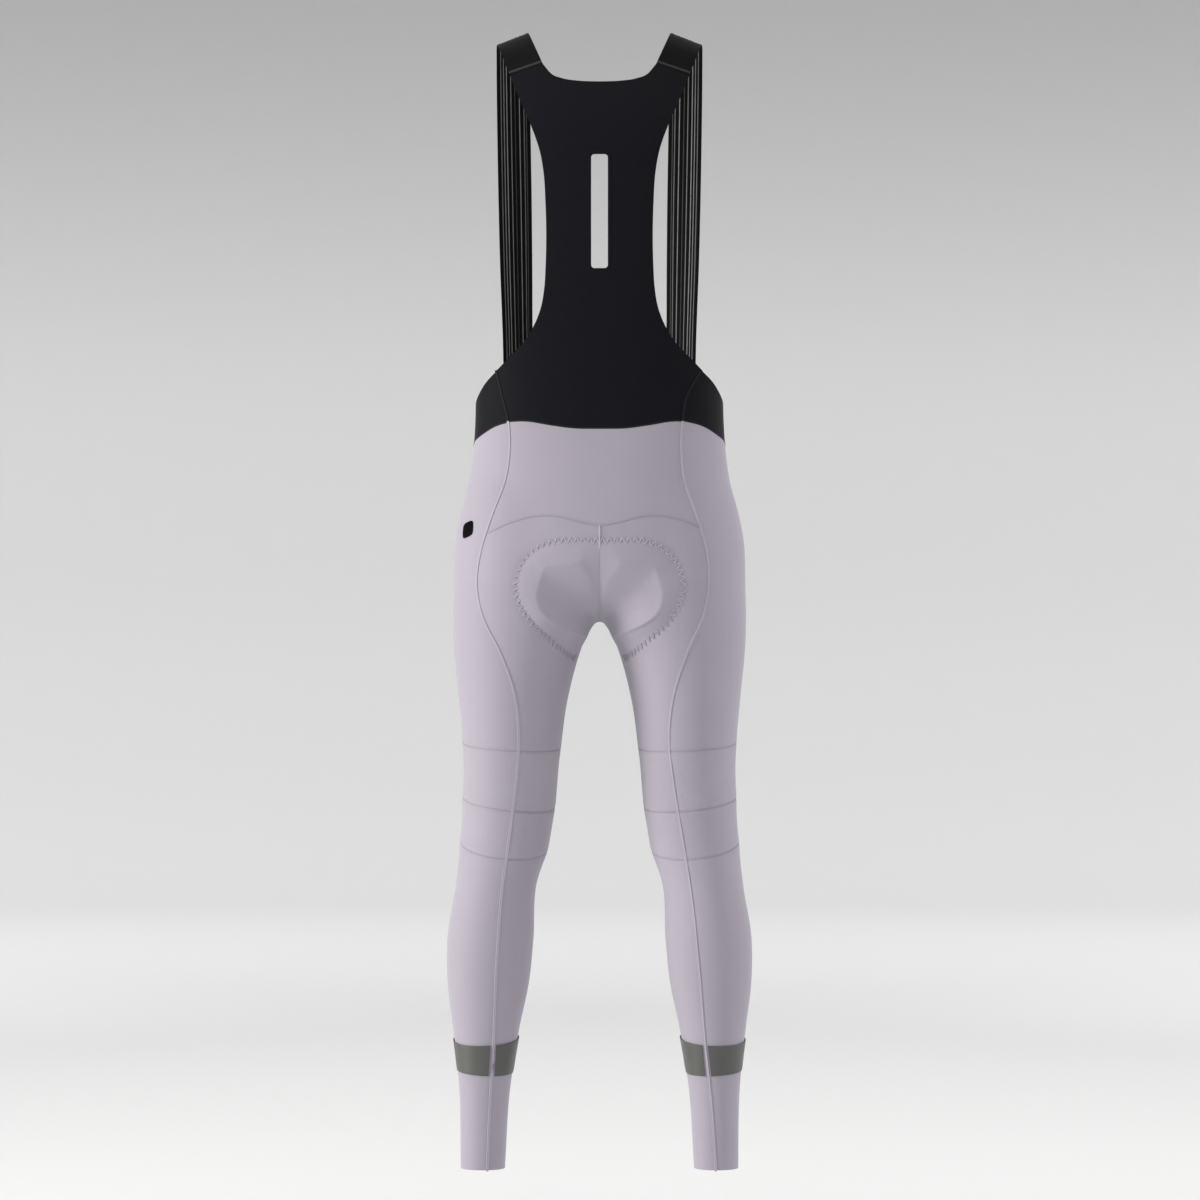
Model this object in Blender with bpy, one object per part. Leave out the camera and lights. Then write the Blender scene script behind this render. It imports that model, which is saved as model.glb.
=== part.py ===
"""Long cycling bib tights, filled out as they are worn and open at the waist, arms, neck and cuffs.

The wearer faces -Y and the wearer's left side is at +X. The origin lies midway between the two
shoulder straps, at the height where they cross the shoulders. The garment hangs below it, so
heights are given as a drop below the origin. Sizes are in millimetres and become metres in
make_object. Seam places are those of the left side. A lean is how far the seams of both sides lie
over to the wearer's left, so it is added on the left and taken away on the right.

The cloth lies on a general figure: a torso and two legs of rounded sections that run smoothly
into each other. Each cut piece is a grid of points on that figure, bounded by its seams, and a
thin wall is made from the grid by moving its points in.
"""
import math

import bmesh
import bpy
import numpy as np

MM = 0.001

CLOTH = 1.5
SEAM_GAP = 0.3
STRAP_CLOTH = 1.3
RIB_RISE = 0.9
BAND_CLOTH = 0.9
LABEL_CLOTH = 1.0
PAD_CLEARANCE = 3.2
PAD_EDGE = 3.0
PAD_CROWN = 6.0
PAD_SHOWS = 4.0

TORSO_SQUARENESS = 2.4
LEG_SQUARENESS = 2.15
FORK_BLEND = 9.0
HIP_BLEND = 3.5
BLEND_WIDTH = 60.0

HIP_DROP = 612.0
BOWL_DEPTH = 84.0
LEG_TOP_DROP = 660.0
LEG_TOP_REACH = 165.0
RISE_CENTRE_DROP = 560.0

# Torso sections: drop, half width, reach of the front and of the back from the shoulder line.
TORSO_SECTIONS = {
    "nape": (36, 150, 50, 57),
    "shoulder blades": (110, 165, 86, 88),
    "chest": (190, 168, 100, 98),
    "ribs": (280, 160, 102, 92),
    "small of back": (360, 152, 99, 79),
    "waist": (430, 149.5, 97, 75),
    "belt": (475, 150.5, 98, 81),
    "hip bone": (530, 156, 98, 97),
    "hip": (585, 167, 95, 112),
    "seat": (640, 175, 92, 118),
}

# Leg sections: drop, inner and outer edge from the middle, reach of the front and of the back.
LEG_SECTIONS = {
    "seat": (660, 3, 176, 90, 108),
    "fork": (703, 9, 176.8, 88, 98),
    "upper thigh": (728, 19, 176.4, 88, 91),
    "thigh": (800, 39, 170, 84, 77),
    "above knee": (862, 47.5, 164.8, 77, 63),
    "knee": (926, 53.5, 165.3, 70, 51),
    "below knee": (980, 62.5, 168.8, 59, 53),
    "calf top": (1022, 75.8, 173.2, 49, 62),
    "calf": (1088, 79.6, 183.4, 42, 70),
    "low calf": (1142, 85.2, 183, 36, 66),
    "shin": (1196, 96.6, 176.4, 28, 57),
    "reflective band": (1232, 102.6, 172.2, 23, 51),
    "ankle": (1268, 107.6, 169.2, 19, 46),
    "hem": (1365, 114, 167.4, 17, 40),
}

# Side-back seam, from the corner of the waist to the cuff: drop, distance from the middle, lean.
SIDE_BACK_SEAM = {
    "corner": (404, 123.5, 1),
    "waist": (434, 111.5, 6),
    "yoke": (465, 105, 5),
    "below yoke": (500, 103.3, 5),
    "hip bone": (536, 107.5, 5.8),
    "hollow of hip": (580, 123, 6.3),
    "hip": (628, 136.4, 7.2),
    "widest": (665, 138.5, 8.4),
    "under seat": (700, 132, 8),
    "back of thigh": (743, 112, 7.5),
    "thigh": (792, 95.5, 7),
    "above knee": (848, 90, 7),
    "knee": (900, 94.5, 6),
    "below knee": (950, 101.5, 5),
    "calf top": (1037, 114, 3.8),
    "calf": (1118, 121, 2.4),
    "shin": (1208, 126.6, 0.5),
    "ankle": (1280, 132.5, -1.2),
    "hem": (1366, 137.5, -2.4),
}
WAIST_CORNER_DROP = 404.0
YOKE_END_DROP = 465.0
SEAT_SEAM_END_DROP = 596.0

# Yoke seam on the back, from the middle to the side-back seam: distance from the middle, drop.
YOKE_SEAM = {
    "middle": (0, 474),
    "inner": (30, 473.5),
    "rise": (60, 469.5),
    "crest": (88, 465),
    "side-back seam": (112, 465.5),
}

# Seam over the seat, from the middle to the side-back seam: distance from the middle, drop.
SEAT_SEAM = {
    "middle": (0, 591),
    "inner": (25, 586.5),
    "rise": (45, 581),
    "crest": (68, 579),
    "outer": (100, 585),
    "side-back seam": (135, 600),
}

# Lower edge of the front waist: degrees from the side, positive to the back, and drop.
BELT_LINE = {
    "side-back seam": (31.6, 465),
    "behind side": (24, 469.5),
    "near side": (14, 481),
    "side": (0, 492),
    "front of side": (-20, 501),
    "front": (-45, 511.5),
    "belly": (-70, 519),
    "middle": (-90, 522),
}

# Upper edge of the front waist, in the same columns. The strap is sewn between its two edges.
FRONT_TOP = {
    "back corner": (22.3, 404),
    "behind side": (16, 417),
    "near side": (9, 433),
    "side": (0, 446),
    "strap outer edge": (-31, 452),
    "strap inner edge": (-47.7, 446),
    "scoop": (-64, 459),
    "low scoop": (-78, 467),
    "middle": (-90, 469),
}
COLUMNS_TO_STRAP = 8
COLUMNS_ON_STRAP = 2
COLUMNS_TO_MIDDLE = 6

# Free edge of the bib, from the strap down to the corner of the front waist: drop, distance
# from the middle.
BIB_EDGE = {
    "strap": (49.5, 108),
    "below strap": (75, 98),
    "shoulder blade": (109, 83.4),
    "arm": (144, 71.4),
    "upper waist": (168, 67.2),
    "slimmest": (205, 64.8),
    "lower waist": (278, 64.6),
    "start of flare": (308, 66.5),
    "flare": (330, 70.5),
    "wide flare": (353, 79.8),
    "low flare": (371, 91.2),
    "near corner": (386, 106),
    "corner": (404, 123.5),
}

# Neckline of the bib, from the middle to the strap: distance from the middle, drop.
NECKLINE = {
    "middle": (0, 58),
    "inner": (25, 57),
    "outer": (44, 54),
    "bend": (58, 48),
    "strap": (68, 36),
}
STRAP_SEAM_OUTER = (108.0, 49.5)

SLOT_HALF_WIDTH = 10.4
SLOT_TOP = 146.5
SLOT_BOTTOM = 283.5

# Strap route: inner edge x, y, drop and outer edge x, y, drop, between the bib and the waist.
STRAP_ROUTE = {
    "behind crest": (80.4, 33, 8, 118.7, 31, 21),
    "near crest": (84.7, 17, -1.8, 121.9, 16, 12.4),
    "crest": (86.3, 1, -4.5, 123.8, 1, 10),
    "past crest": (86.8, -16, -1.8, 124.6, -15, 12.4),
    "ahead of crest": (86.5, -33, 8, 124.8, -30, 21),
    "collar": (85.4, -64, 45, 125, -57, 55),
    "chest": (84.2, -90, 115, 124.5, -80, 118),
    "breast": (83, -99, 195, 123.2, -87, 195),
    "lower ribs": (82.4, -99.5, 267, 121.4, -85, 267),
    "belly": (81.8, -95.5, 370, 117.6, -78.5, 372),
}
STRAP_RIBS = 7
STRAP_PLAIN_ROWS = 3
STRAP_ROWS = 26

# Leg rings: drop of the middle, how much higher the outer side is, how much higher the front is.
LEG_RINGS = {
    "knee top": (855.5, 3.5, 6),
    "knee middle": (924.5, 6.5, 9),
    "knee bottom": (977, 6, 14),
    "band top": (1208.5, -1.5, 7),
    "band bottom": (1247, 1.5, 5),
    "hem": (1364.5, 0, 1.5),
}

BIB_ROWS_ABOVE_SLOT = 5
BIB_ROWS_AT_SLOT = 4
BIB_ROWS_BELOW_SLOT = 4
BIB_LEVEL_END = 386.0
BIB_CORNER_RISE = 4.0
COLUMNS_FRONT = COLUMNS_TO_STRAP + COLUMNS_ON_STRAP + COLUMNS_TO_MIDDLE
COLUMNS_BACK = 10
ROWS_LOWER_BACK = 4
ROWS_SEAT_RISE = 9
ROWS_INSEAM = 6
ROWS_SEAT = ROWS_SEAT_RISE + ROWS_INSEAM
ROWS_THIGH = ROWS_LOWER_BACK + ROWS_SEAT
ROWS_FRONT_RISE = ROWS_THIGH - ROWS_INSEAM
ROWS_KNEE = 2
ROWS_CALF = 7
ROWS_BAND = 1
ROWS_CUFF = 3
BAND_SHORT_OF_SEAM = 3.6

# Seat pad: distance along the centre seam from its back edge, half width.
PAD_OUTLINE = {
    "back edge": (0, 58),
    "back shoulder": (14, 84),
    "widest": (55, 100),
    "under seat": (105, 86),
    "fork": (160, 47),
    "front": (205, 38),
    "front shoulder": (245, 33),
    "front edge": (262, 20),
}
PAD_ROWS = 15
PAD_COLUMNS = 6
PAD_BACK_DROP = 610.0

# Lobes of the pad that show through the seat: middle and half size in the back view.
LOBE_MIDDLE = (43.0, 676.0)
LOBE_HALF_INNER = 40.0
LOBE_HALF_OUTER = 58.0
LOBE_HALF_DOWN = 62.0
LOBE_EDGE = 0.36

LABEL_MIDDLE = (158.0, 595.5)
LABEL_HALF_ACROSS = 11.5
LABEL_HALF_DOWN = 9.5
LABEL_TURN = math.radians(14)
LABEL_CELLS = 4
LABEL_ROUNDING = 0.16

LILAC = (0.42, 0.39, 0.45, 1.0)
BLACK = (0.012, 0.012, 0.015, 1.0)
GREY = (0.13, 0.135, 0.125, 1.0)
FOAM = (0.05, 0.05, 0.06, 1.0)


def columns_of(table):
    """The columns of a table whose rows have names, as arrays."""
    return np.array(list(table.values()), float).T


def smooth_curve(stations, values, at):
    """A cubic through the values whose slope at each station comes from its neighbours."""
    slopes = np.gradient(values, stations)
    at = np.clip(at, stations[0], stations[-1])
    cell = np.clip(np.searchsorted(stations, at) - 1, 0, len(stations) - 2)
    span = stations[cell + 1] - stations[cell]
    t = (at - stations[cell]) / span
    start = (2 * t**3 - 3 * t**2 + 1) * values[cell] + (t**3 - 2 * t**2 + t) * span * slopes[cell]
    end = (3 * t**2 - 2 * t**3) * values[cell + 1] + (t**3 - t**2) * span * slopes[cell + 1]
    return start + end


def read_table(table, at):
    """All later columns of a table at the given values of its first column."""
    stations, *columns = columns_of(table)
    return [smooth_curve(stations, column, at) for column in columns]


def outside_form(offset, half_sizes, squareness):
    """How far points lie outside a rounded form, along the line from its middle."""
    ratios = [np.abs(o / h) ** squareness for o, h in zip(offset, half_sizes)]
    measure = np.maximum(sum(ratios) ** (1 / squareness), 1e-6)
    return np.sqrt(sum(o**2 for o in offset)) * (1 - 1 / measure)


def torso_gap(points):
    """How far points lie outside the torso, which ends in a bowl below the hip."""
    x, y, drop = points[..., 0], points[..., 1], -points[..., 2]
    half_width, front, back = read_table(TORSO_SECTIONS, np.minimum(drop, HIP_DROP))
    depth = np.where(y > 0, back, front)
    below = np.maximum(drop - HIP_DROP, 0)
    return outside_form((x, y, below), (half_width, depth, BOWL_DEPTH), TORSO_SQUARENESS)


def leg_axis(drop):
    """Middle of the leg's section at a drop, with its half sizes across, to the front and back."""
    inner, outer, front, back = read_table(LEG_SECTIONS, drop)
    return (inner + outer) / 2, (back - front) / 2, (outer - inner) / 2, (front + back) / 2


def leg_gap(points, side):
    """How far points lie outside one leg, whose top is rounded off inside the torso."""
    x, y, drop = points[..., 0] * side, points[..., 1], -points[..., 2]
    middle_x, middle_y, half_width, half_depth = leg_axis(drop)
    above = np.minimum(drop - LEG_TOP_DROP, 0)
    offset = (x - middle_x, y - middle_y, above)
    return outside_form(offset, (half_width, half_depth, LEG_TOP_REACH), LEG_SQUARENESS)


def figure_gap(points):
    """How far points lie outside the figure: torso and legs, run softly into each other."""
    gaps = np.stack([torso_gap(points), leg_gap(points, 1), leg_gap(points, -1)])
    near_fork = np.exp(-((points[..., 0] / BLEND_WIDTH) ** 2))
    blend = HIP_BLEND + (FORK_BLEND - HIP_BLEND) * near_fork
    least = gaps.min(axis=0)
    return least - blend * np.log(np.exp((least - gaps) / blend).sum(axis=0))


def figure_slope(points, step=0.4):
    """Gradient of figure_gap by central differences."""
    slope = np.empty_like(points)
    for axis in range(3):
        move = np.zeros(3)
        move[axis] = step
        slope[..., axis] = (figure_gap(points + move) - figure_gap(points - move)) / (2 * step)
    return slope


def settle(points, rounds=8):
    """Moves points along the figure's gradient until they lie on its surface."""
    points = np.array(points, float)
    for _ in range(rounds):
        slope = figure_slope(points)
        points -= slope * (figure_gap(points) / (slope**2).sum(axis=-1))[..., None]
    return points


def lift(points, height):
    """Points moved out from the figure's surface by a height, or in by a negative one."""
    slope = figure_slope(points)
    normal = slope / np.linalg.norm(slope, axis=-1, keepdims=True)
    return points + normal * np.asarray(height)[..., None]


def ray_out(origins, directions, reach=260.0, samples=66, rounds=12):
    """Where rays that start inside the figure first leave it."""
    lengths = np.linspace(0, reach, samples)
    probes = origins[..., None, :] + directions[..., None, :] * lengths[:, None]
    first = np.argmax(figure_gap(probes) > 0, axis=-1)
    high = lengths[first]
    low = lengths[np.maximum(first - 1, 0)]
    for _ in range(rounds):
        middle = (low + high) / 2
        outside = figure_gap(origins + directions * middle[..., None]) > 0
        high = np.where(outside, middle, high)
        low = np.where(outside, low, middle)
    return origins + directions * high[..., None]


def stack(x, y, z):
    """Points from three arrays of coordinates."""
    return np.stack(np.broadcast_arrays(x, y, z), axis=-1).astype(float)


def on_back(x, drop):
    """Points of the back surface at a distance from the middle and a drop."""
    inside = stack(x, 0.0, -np.asarray(drop, float))
    return ray_out(inside, np.broadcast_to([0.0, 1.0, 0.0], inside.shape))


def on_waist(degrees, drop):
    """Points of the torso at an angle from the side, positive to the back, and a drop."""
    angle = np.radians(degrees)
    inside = stack(0.0, 0.0, -np.asarray(drop, float) + 0 * angle)
    return ray_out(inside, stack(np.cos(angle), np.sin(angle), 0.0 * angle))


def on_leg(angle, drop):
    """Points of the left leg and hip at an angle about the leg's axis and a drop."""
    middle_x, middle_y, _, _ = leg_axis(drop)
    inside = stack(middle_x, middle_y, -np.asarray(drop, float))
    return ray_out(inside, stack(np.cos(angle), np.sin(angle), 0.0 * angle))


def on_rise(angle):
    """Points of the centre seam, at an angle below the horizontal in the middle plane."""
    inside = stack(0.0, 0.0, -RISE_CENTRE_DROP + 0 * angle)
    return ray_out(inside, stack(0.0 * angle, np.cos(angle), -np.sin(angle)))


def arc_lengths(line):
    """Distance along a line of points to each of them."""
    steps = np.linalg.norm(np.diff(line, axis=0), axis=1)
    return np.concatenate([[0.0], np.cumsum(steps)])


def even_points(line, count):
    """The line's points at even distances, one more than count."""
    lengths = arc_lengths(line)
    at = np.linspace(0, lengths[-1], count + 1)
    return settle(np.stack([np.interp(at, lengths, line[:, k]) for k in range(3)], axis=1))


def mirrored(points):
    """Points on the wearer's other side."""
    return points * np.array([-1.0, 1.0, 1.0])


def across_middle(left, right):
    """Half grids whose first columns lie in the middle, joined. The right one comes mirrored."""
    return np.concatenate([mirrored(right[:, :0:-1]), left], axis=1)


def seam_x(drop, side):
    """Distance of the side-back seam from the middle at a drop, on one side."""
    distance, lean = read_table(SIDE_BACK_SEAM, np.asarray(drop, float))
    return distance + side * lean


def leg_ring(name, start_point, columns_front, columns_back):
    """A ring round the left leg, from the back seam by the outer side to the inseam and back."""
    drop, outer_rise, front_rise = LEG_RINGS[name]
    middle_x, middle_y, _, _ = leg_axis(drop)
    start = math.atan2(start_point[1] - middle_y, start_point[0] - middle_x)
    front_way = np.linspace(start, -math.pi, columns_front + 1)
    back_way = np.linspace(math.pi, start, columns_back + 1)
    angle = np.concatenate([front_way, back_way[1:]])
    drops = drop - outer_rise * np.cos(angle) + front_rise * np.sin(angle)
    ring = on_leg(angle, drops)
    ring[0] = start_point
    ring[-1] = start_point
    return ring


def seam_point(ring_name, side):
    """Where the side-back seam crosses a leg ring."""
    drop, _, front_rise = LEG_RINGS[ring_name]
    drops = np.array([drop + front_rise])
    return on_back(seam_x(drops, side), drops)[0]


def side_back_line(top, bottom, count, side):
    """Even points of the side-back seam between two drops."""
    drops = np.linspace(top, bottom, 160)
    return even_points(on_back(seam_x(drops, side), drops), count)


def flat_to_leg(points):
    """Angle about the leg's axis and drop of points, with the angle running on past the inseam."""
    drop = -points[..., 2]
    middle_x, middle_y, _, _ = leg_axis(drop)
    return np.arctan2(points[..., 1] - middle_y, points[..., 0] - middle_x), drop


def fill_between(top, bottom, start, end, front):
    """A grid on the left leg and hip between four seams, worked out in angle and drop."""
    sides = []
    for line in (top, bottom, start, end):
        angle, drop = flat_to_leg(line)
        if front:
            angle = np.where(angle > math.radians(150), angle - 2 * math.pi, angle)
        else:
            angle = np.where(angle < 0, angle + 2 * math.pi, angle)
        sides.append(np.stack([angle, drop], axis=-1))
    top_flat, bottom_flat, start_flat, end_flat = sides
    u = np.linspace(0, 1, len(top))[None, :, None]
    v = np.linspace(0, 1, len(start))[:, None, None]
    rows = (1 - v) * top_flat[None] + v * bottom_flat[None]
    columns = (1 - u) * start_flat[:, None] + u * end_flat[:, None]
    corners = (1 - u) * (1 - v) * top_flat[0] + u * (1 - v) * top_flat[-1]
    corners = corners + (1 - u) * v * bottom_flat[0] + u * v * bottom_flat[-1]
    flat = rows + columns - corners
    grid = on_leg(flat[..., 0], flat[..., 1])
    grid[0], grid[-1], grid[:, 0], grid[:, -1] = top, bottom, start, end
    return grid


def straight_between(top, bottom, rows):
    """A grid between two lines with the same number of points, settled on the figure."""
    v = np.linspace(0, 1, rows + 1)[:, None, None]
    return settle((1 - v) * top[None] + v * bottom[None])


def bib_columns(edge):
    """Distances of the bib's columns from the middle: the slot's edge, then even to the strap."""
    slot = SLOT_HALF_WIDTH
    neck_share = (NECKLINE["strap"][0] - slot) / (STRAP_SEAM_OUTER[0] - slot)
    below_neck = np.linspace(0, neck_share, COLUMNS_BACK - COLUMNS_ON_STRAP)
    below_strap = np.linspace(neck_share, 1, COLUMNS_ON_STRAP + 1)[1:]
    shares = np.concatenate([below_neck, below_strap])
    return np.concatenate([[0.0], slot + shares * (edge - slot)])


def on_seam(table, x):
    """Points of a seam across the back at distances from the middle."""
    return on_back(x, smooth_curve(*columns_of(table), x))


def front_waist_edges(yoke_end):
    """Upper and lower edge of the front waist, from the side seam to the middle of the front."""
    top_degrees, top_drop = columns_of(FRONT_TOP)
    edges = [FRONT_TOP["back corner"][0], FRONT_TOP["strap outer edge"][0]]
    edges += [FRONT_TOP["strap inner edge"][0], FRONT_TOP["middle"][0]]
    counts = (COLUMNS_TO_STRAP, COLUMNS_ON_STRAP, COLUMNS_TO_MIDDLE)
    spans = [np.linspace(a, b, n + 1)[1:] for a, b, n in zip(edges, edges[1:], counts)]
    degrees = np.concatenate([[edges[0]], *spans])
    top = on_waist(degrees, smooth_curve(-top_degrees, top_drop, -degrees))
    corner_drop, corner_x = BIB_EDGE["corner"]
    top[0] = on_back(np.array([corner_x]), np.array([corner_drop]))[0]

    belt_degrees, belt_drop = columns_of(BELT_LINE)
    start = math.degrees(math.atan2(yoke_end[1], yoke_end[0]))
    share = (degrees - degrees[0]) / (degrees[-1] - degrees[0])
    around = start + share * (belt_degrees[-1] - start)
    belt = on_waist(around, smooth_curve(-belt_degrees, belt_drop, -around))
    belt[0] = yoke_end
    for line in (top, belt):
        line[-1, 0] = 0
    return top, belt


def seam_lines(side):
    """Every seam of one side, as points that the pieces on both its sides share.

    The side is 1 for the left and -1 for the right, whose points come mirrored.
    """
    lines = {"side": side}
    lines["yoke"] = on_seam(YOKE_SEAM, bib_columns(seam_x(YOKE_END_DROP, side)))
    seat_x = np.linspace(0, seam_x(SEAT_SEAM_END_DROP, side), COLUMNS_BACK + 1)
    lines["seat"] = on_seam(SEAT_SEAM, seat_x)
    lines["front top"], lines["belt"] = front_waist_edges(lines["yoke"][-1])
    strap = slice(COLUMNS_TO_STRAP, COLUMNS_TO_STRAP + COLUMNS_ON_STRAP + 1)
    lines["strap foot"] = lines["front top"][strap]

    knee = seam_point("knee top", side)
    seat_end = lines["seat"][-1]
    lines["side upper"] = side_back_line(YOKE_END_DROP, -seat_end[2], ROWS_LOWER_BACK, side)
    lines["side lower"] = side_back_line(-seat_end[2], -knee[2], ROWS_SEAT, side)
    lines["knee top"] = leg_ring("knee top", knee, COLUMNS_FRONT, COLUMNS_BACK)

    rise = on_rise(np.radians(np.linspace(-30, 210, 721)))
    fork = int(np.argmin(rise[:, 2]))
    back_start = int(np.argmin(np.abs(rise[:fork, 2] - lines["seat"][0, 2])))
    front_end = fork + int(np.argmin(np.abs(rise[fork:, 2] - lines["belt"][-1, 2])))
    lines["back rise"] = even_points(rise[back_start : fork + 1], ROWS_SEAT_RISE)
    lines["front rise"] = even_points(rise[fork : front_end + 1][::-1], ROWS_FRONT_RISE)
    inseam_end = lines["knee top"][COLUMNS_FRONT]
    drops = np.linspace(-rise[fork, 2] + 2, -inseam_end[2], 120)
    inner_leg = on_leg(np.full(120, math.pi), drops)
    inner_leg = np.concatenate([rise[fork : fork + 1], inner_leg])
    lines["inseam"] = even_points(inner_leg, ROWS_INSEAM)
    for name, at, point in (
        ("side upper", 0, lines["yoke"][-1]),
        ("side upper", -1, seat_end),
        ("side lower", 0, seat_end),
        ("side lower", -1, knee),
        ("back rise", 0, lines["seat"][0]),
        ("back rise", -1, rise[fork]),
        ("front rise", 0, lines["belt"][-1]),
        ("front rise", -1, rise[fork]),
        ("inseam", 0, rise[fork]),
        ("inseam", -1, inseam_end),
    ):
        lines[name][at] = point
    lines["whole rise"] = rise
    return lines


def bib_top_drops(x):
    """Drop of the bib's top: the neckline, and past its end the straight seam of the strap."""
    neck_x, neck_drop = columns_of(NECKLINE)
    past = (x - neck_x[-1]) / (STRAP_SEAM_OUTER[0] - neck_x[-1])
    seam = neck_drop[-1] + past * (STRAP_SEAM_OUTER[1] - neck_drop[-1])
    return np.where(x > neck_x[-1], seam, smooth_curve(neck_x, neck_drop, x))


def waist_seam_point(share, side):
    """Distance from the middle and drop of a point on the seam between bib and front waist."""
    x = seam_x(WAIST_CORNER_DROP + share * (YOKE_END_DROP - WAIST_CORNER_DROP), side)
    seam_end = smooth_curve(*columns_of(YOKE_SEAM), x)
    return x, WAIST_CORNER_DROP + share * (seam_end - WAIST_CORNER_DROP)


def bib_half(side):
    """Half grid of the bib back, its rows from the neckline and strap down to the yoke seam."""
    edge_drop, edge_x = columns_of(BIB_EDGE)
    x_rows = []
    drop_rows = []
    top = bib_top_drops(bib_columns(STRAP_SEAM_OUTER[0]))
    for share in np.linspace(0, 1, BIB_ROWS_ABOVE_SLOT + 1)[:-1]:
        drops = top + share * (SLOT_TOP - top)
        x_rows.append(bib_columns(smooth_curve(edge_drop, edge_x, drops[-1])))
        drop_rows.append(drops)
    slot = np.linspace(SLOT_TOP, SLOT_BOTTOM, BIB_ROWS_AT_SLOT + 1)
    below = np.linspace(SLOT_BOTTOM, BIB_LEVEL_END, BIB_ROWS_BELOW_SLOT + 1)[1:]
    for drop in np.concatenate([slot, below]):
        x_rows.append(bib_columns(smooth_curve(edge_drop, edge_x, drop)))
        drop_rows.append(np.full(COLUMNS_BACK + 1, drop))
    x = bib_columns(edge_x[-1])
    corner = WAIST_CORNER_DROP - BIB_CORNER_RISE * (1 - (x / edge_x[-1]) ** 2)
    x_rows.append(x)
    drop_rows.append(corner)
    for share in (0.5, 1.0):
        edge, _ = waist_seam_point(share, side)
        x = bib_columns(edge)
        x_rows.append(x)
        drop_rows.append(corner + share * (smooth_curve(*columns_of(YOKE_SEAM), x) - corner))
    return on_back(np.array(x_rows), np.array(drop_rows))


def inset_edges(grid, sides="tblr"):
    """Moves a grid's edges in by half the gap that is left at a seam."""
    grid = np.array(grid, float)
    edges = {
        "t": (grid[0], grid[1]),
        "b": (grid[-1], grid[-2]),
        "l": (grid[:, 0], grid[:, 1]),
        "r": (grid[:, -1], grid[:, -2]),
    }
    for side in sides:
        edge, inner = edges[side]
        step = inner - edge
        edge += step / np.linalg.norm(step, axis=-1, keepdims=True) * (SEAM_GAP / 2)
    return grid


def make_material(name, colour, roughness):
    """A plain cloth material."""
    material = bpy.data.materials.new(name)
    material.use_nodes = True
    shader = material.node_tree.nodes["Principled BSDF"]
    shader.inputs["Base Color"].default_value = colour
    shader.inputs["Roughness"].default_value = roughness
    shader.inputs["Metallic"].default_value = 0.0
    return material


def make_object(name, points, faces, material, collection):
    """An object from points in millimetres and triangles, with its faces turned outwards."""
    mesh = bpy.data.meshes.new(name)
    mesh.from_pydata((points * MM).tolist(), [], faces)
    shape = bmesh.new()
    shape.from_mesh(mesh)
    bmesh.ops.recalc_face_normals(shape, faces=shape.faces)
    shape.to_mesh(mesh)
    shape.free()
    mesh.shade_smooth()
    mesh.set_sharp_from_angle(angle=math.radians(50))
    mesh.materials.append(material)
    obj = bpy.data.objects.new(name, mesh)
    collection.objects.link(obj)
    return obj


def wall_faces(rows, columns, left_out=()):
    """Triangles of a wall with an inner and an outer grid, and rims round its edges and holes."""
    cells = {(i, j) for i in range(rows - 1) for j in range(columns - 1)} - set(left_out)
    count = rows * columns
    faces = []
    for i, j in sorted(cells):
        a, b = i * columns + j, i * columns + j + 1
        c, d = b + columns, a + columns
        faces += [(a, b, c), (a, c, d), (count + c, count + b, count + a)]
        faces += [(count + d, count + c, count + a)]
        sides = (((i - 1, j), a, b), ((i, j + 1), b, c), ((i + 1, j), c, d), ((i, j - 1), d, a))
        for neighbour, start, end in sides:
            if neighbour not in cells:
                faces += [(end, start, count + start), (end, count + start, count + end)]
    return faces


def cloth_wall(name, outer, inner, look, left_out=()):
    """One cut piece: a wall between a grid of outer points and one of inner points."""
    rows, columns, _ = outer.shape
    points = np.concatenate([outer.reshape(-1, 3), inner.reshape(-1, 3)])
    used_faces = wall_faces(rows, columns, left_out)
    used = sorted({index for face in used_faces for index in face})
    place = {index: k for k, index in enumerate(used)}
    faces = [tuple(place[index] for index in face) for face in used_faces]
    material, collection = look
    return make_object(name, points[used], faces, material, collection)


def pair_wall(name, lines, outer, inner, look):
    """One piece of a pair, on the side that its seam lines belong to."""
    if lines["side"] > 0:
        cloth_wall(name + "_left", outer, inner, look)
    else:
        cloth_wall(name + "_right", mirrored(outer), mirrored(inner), look)


def on_figure(grid, sides="tblr"):
    """Outer and inner points of a piece of cloth whose outside lies on the figure."""
    outer = inset_edges(grid, sides)
    return outer, lift(outer, np.full(outer.shape[:-1], -CLOTH))


def pad_relief(points):
    """How much the lobes of the pad lift the seat at points of the back."""
    across = np.abs(points[..., 0]) - LOBE_MIDDLE[0]
    across /= np.where(across > 0, LOBE_HALF_OUTER, LOBE_HALF_INNER)
    down = (-points[..., 2] - LOBE_MIDDLE[1]) / LOBE_HALF_DOWN
    inside = 1 - np.sqrt(across**2 + down**2)
    share = np.clip(inside / LOBE_EDGE, 0, 1)
    behind = np.clip(points[..., 1] / 20, 0, 1)
    return PAD_SHOWS * share**2 * (3 - 2 * share) * behind


def build_seat(lines, look):
    """Seat and back of the thigh of one side, with the pad's lobe showing."""
    end = np.concatenate([lines["back rise"], lines["inseam"][1:]])
    bottom = lines["knee top"][COLUMNS_FRONT:][::-1]
    grid = fill_between(lines["seat"][::-1], bottom, lines["side lower"], end, front=False)
    outer, inner = on_figure(grid)
    pair_wall("seat", lines, lift(outer, pad_relief(outer)), lift(inner, pad_relief(inner)), look)


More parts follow.
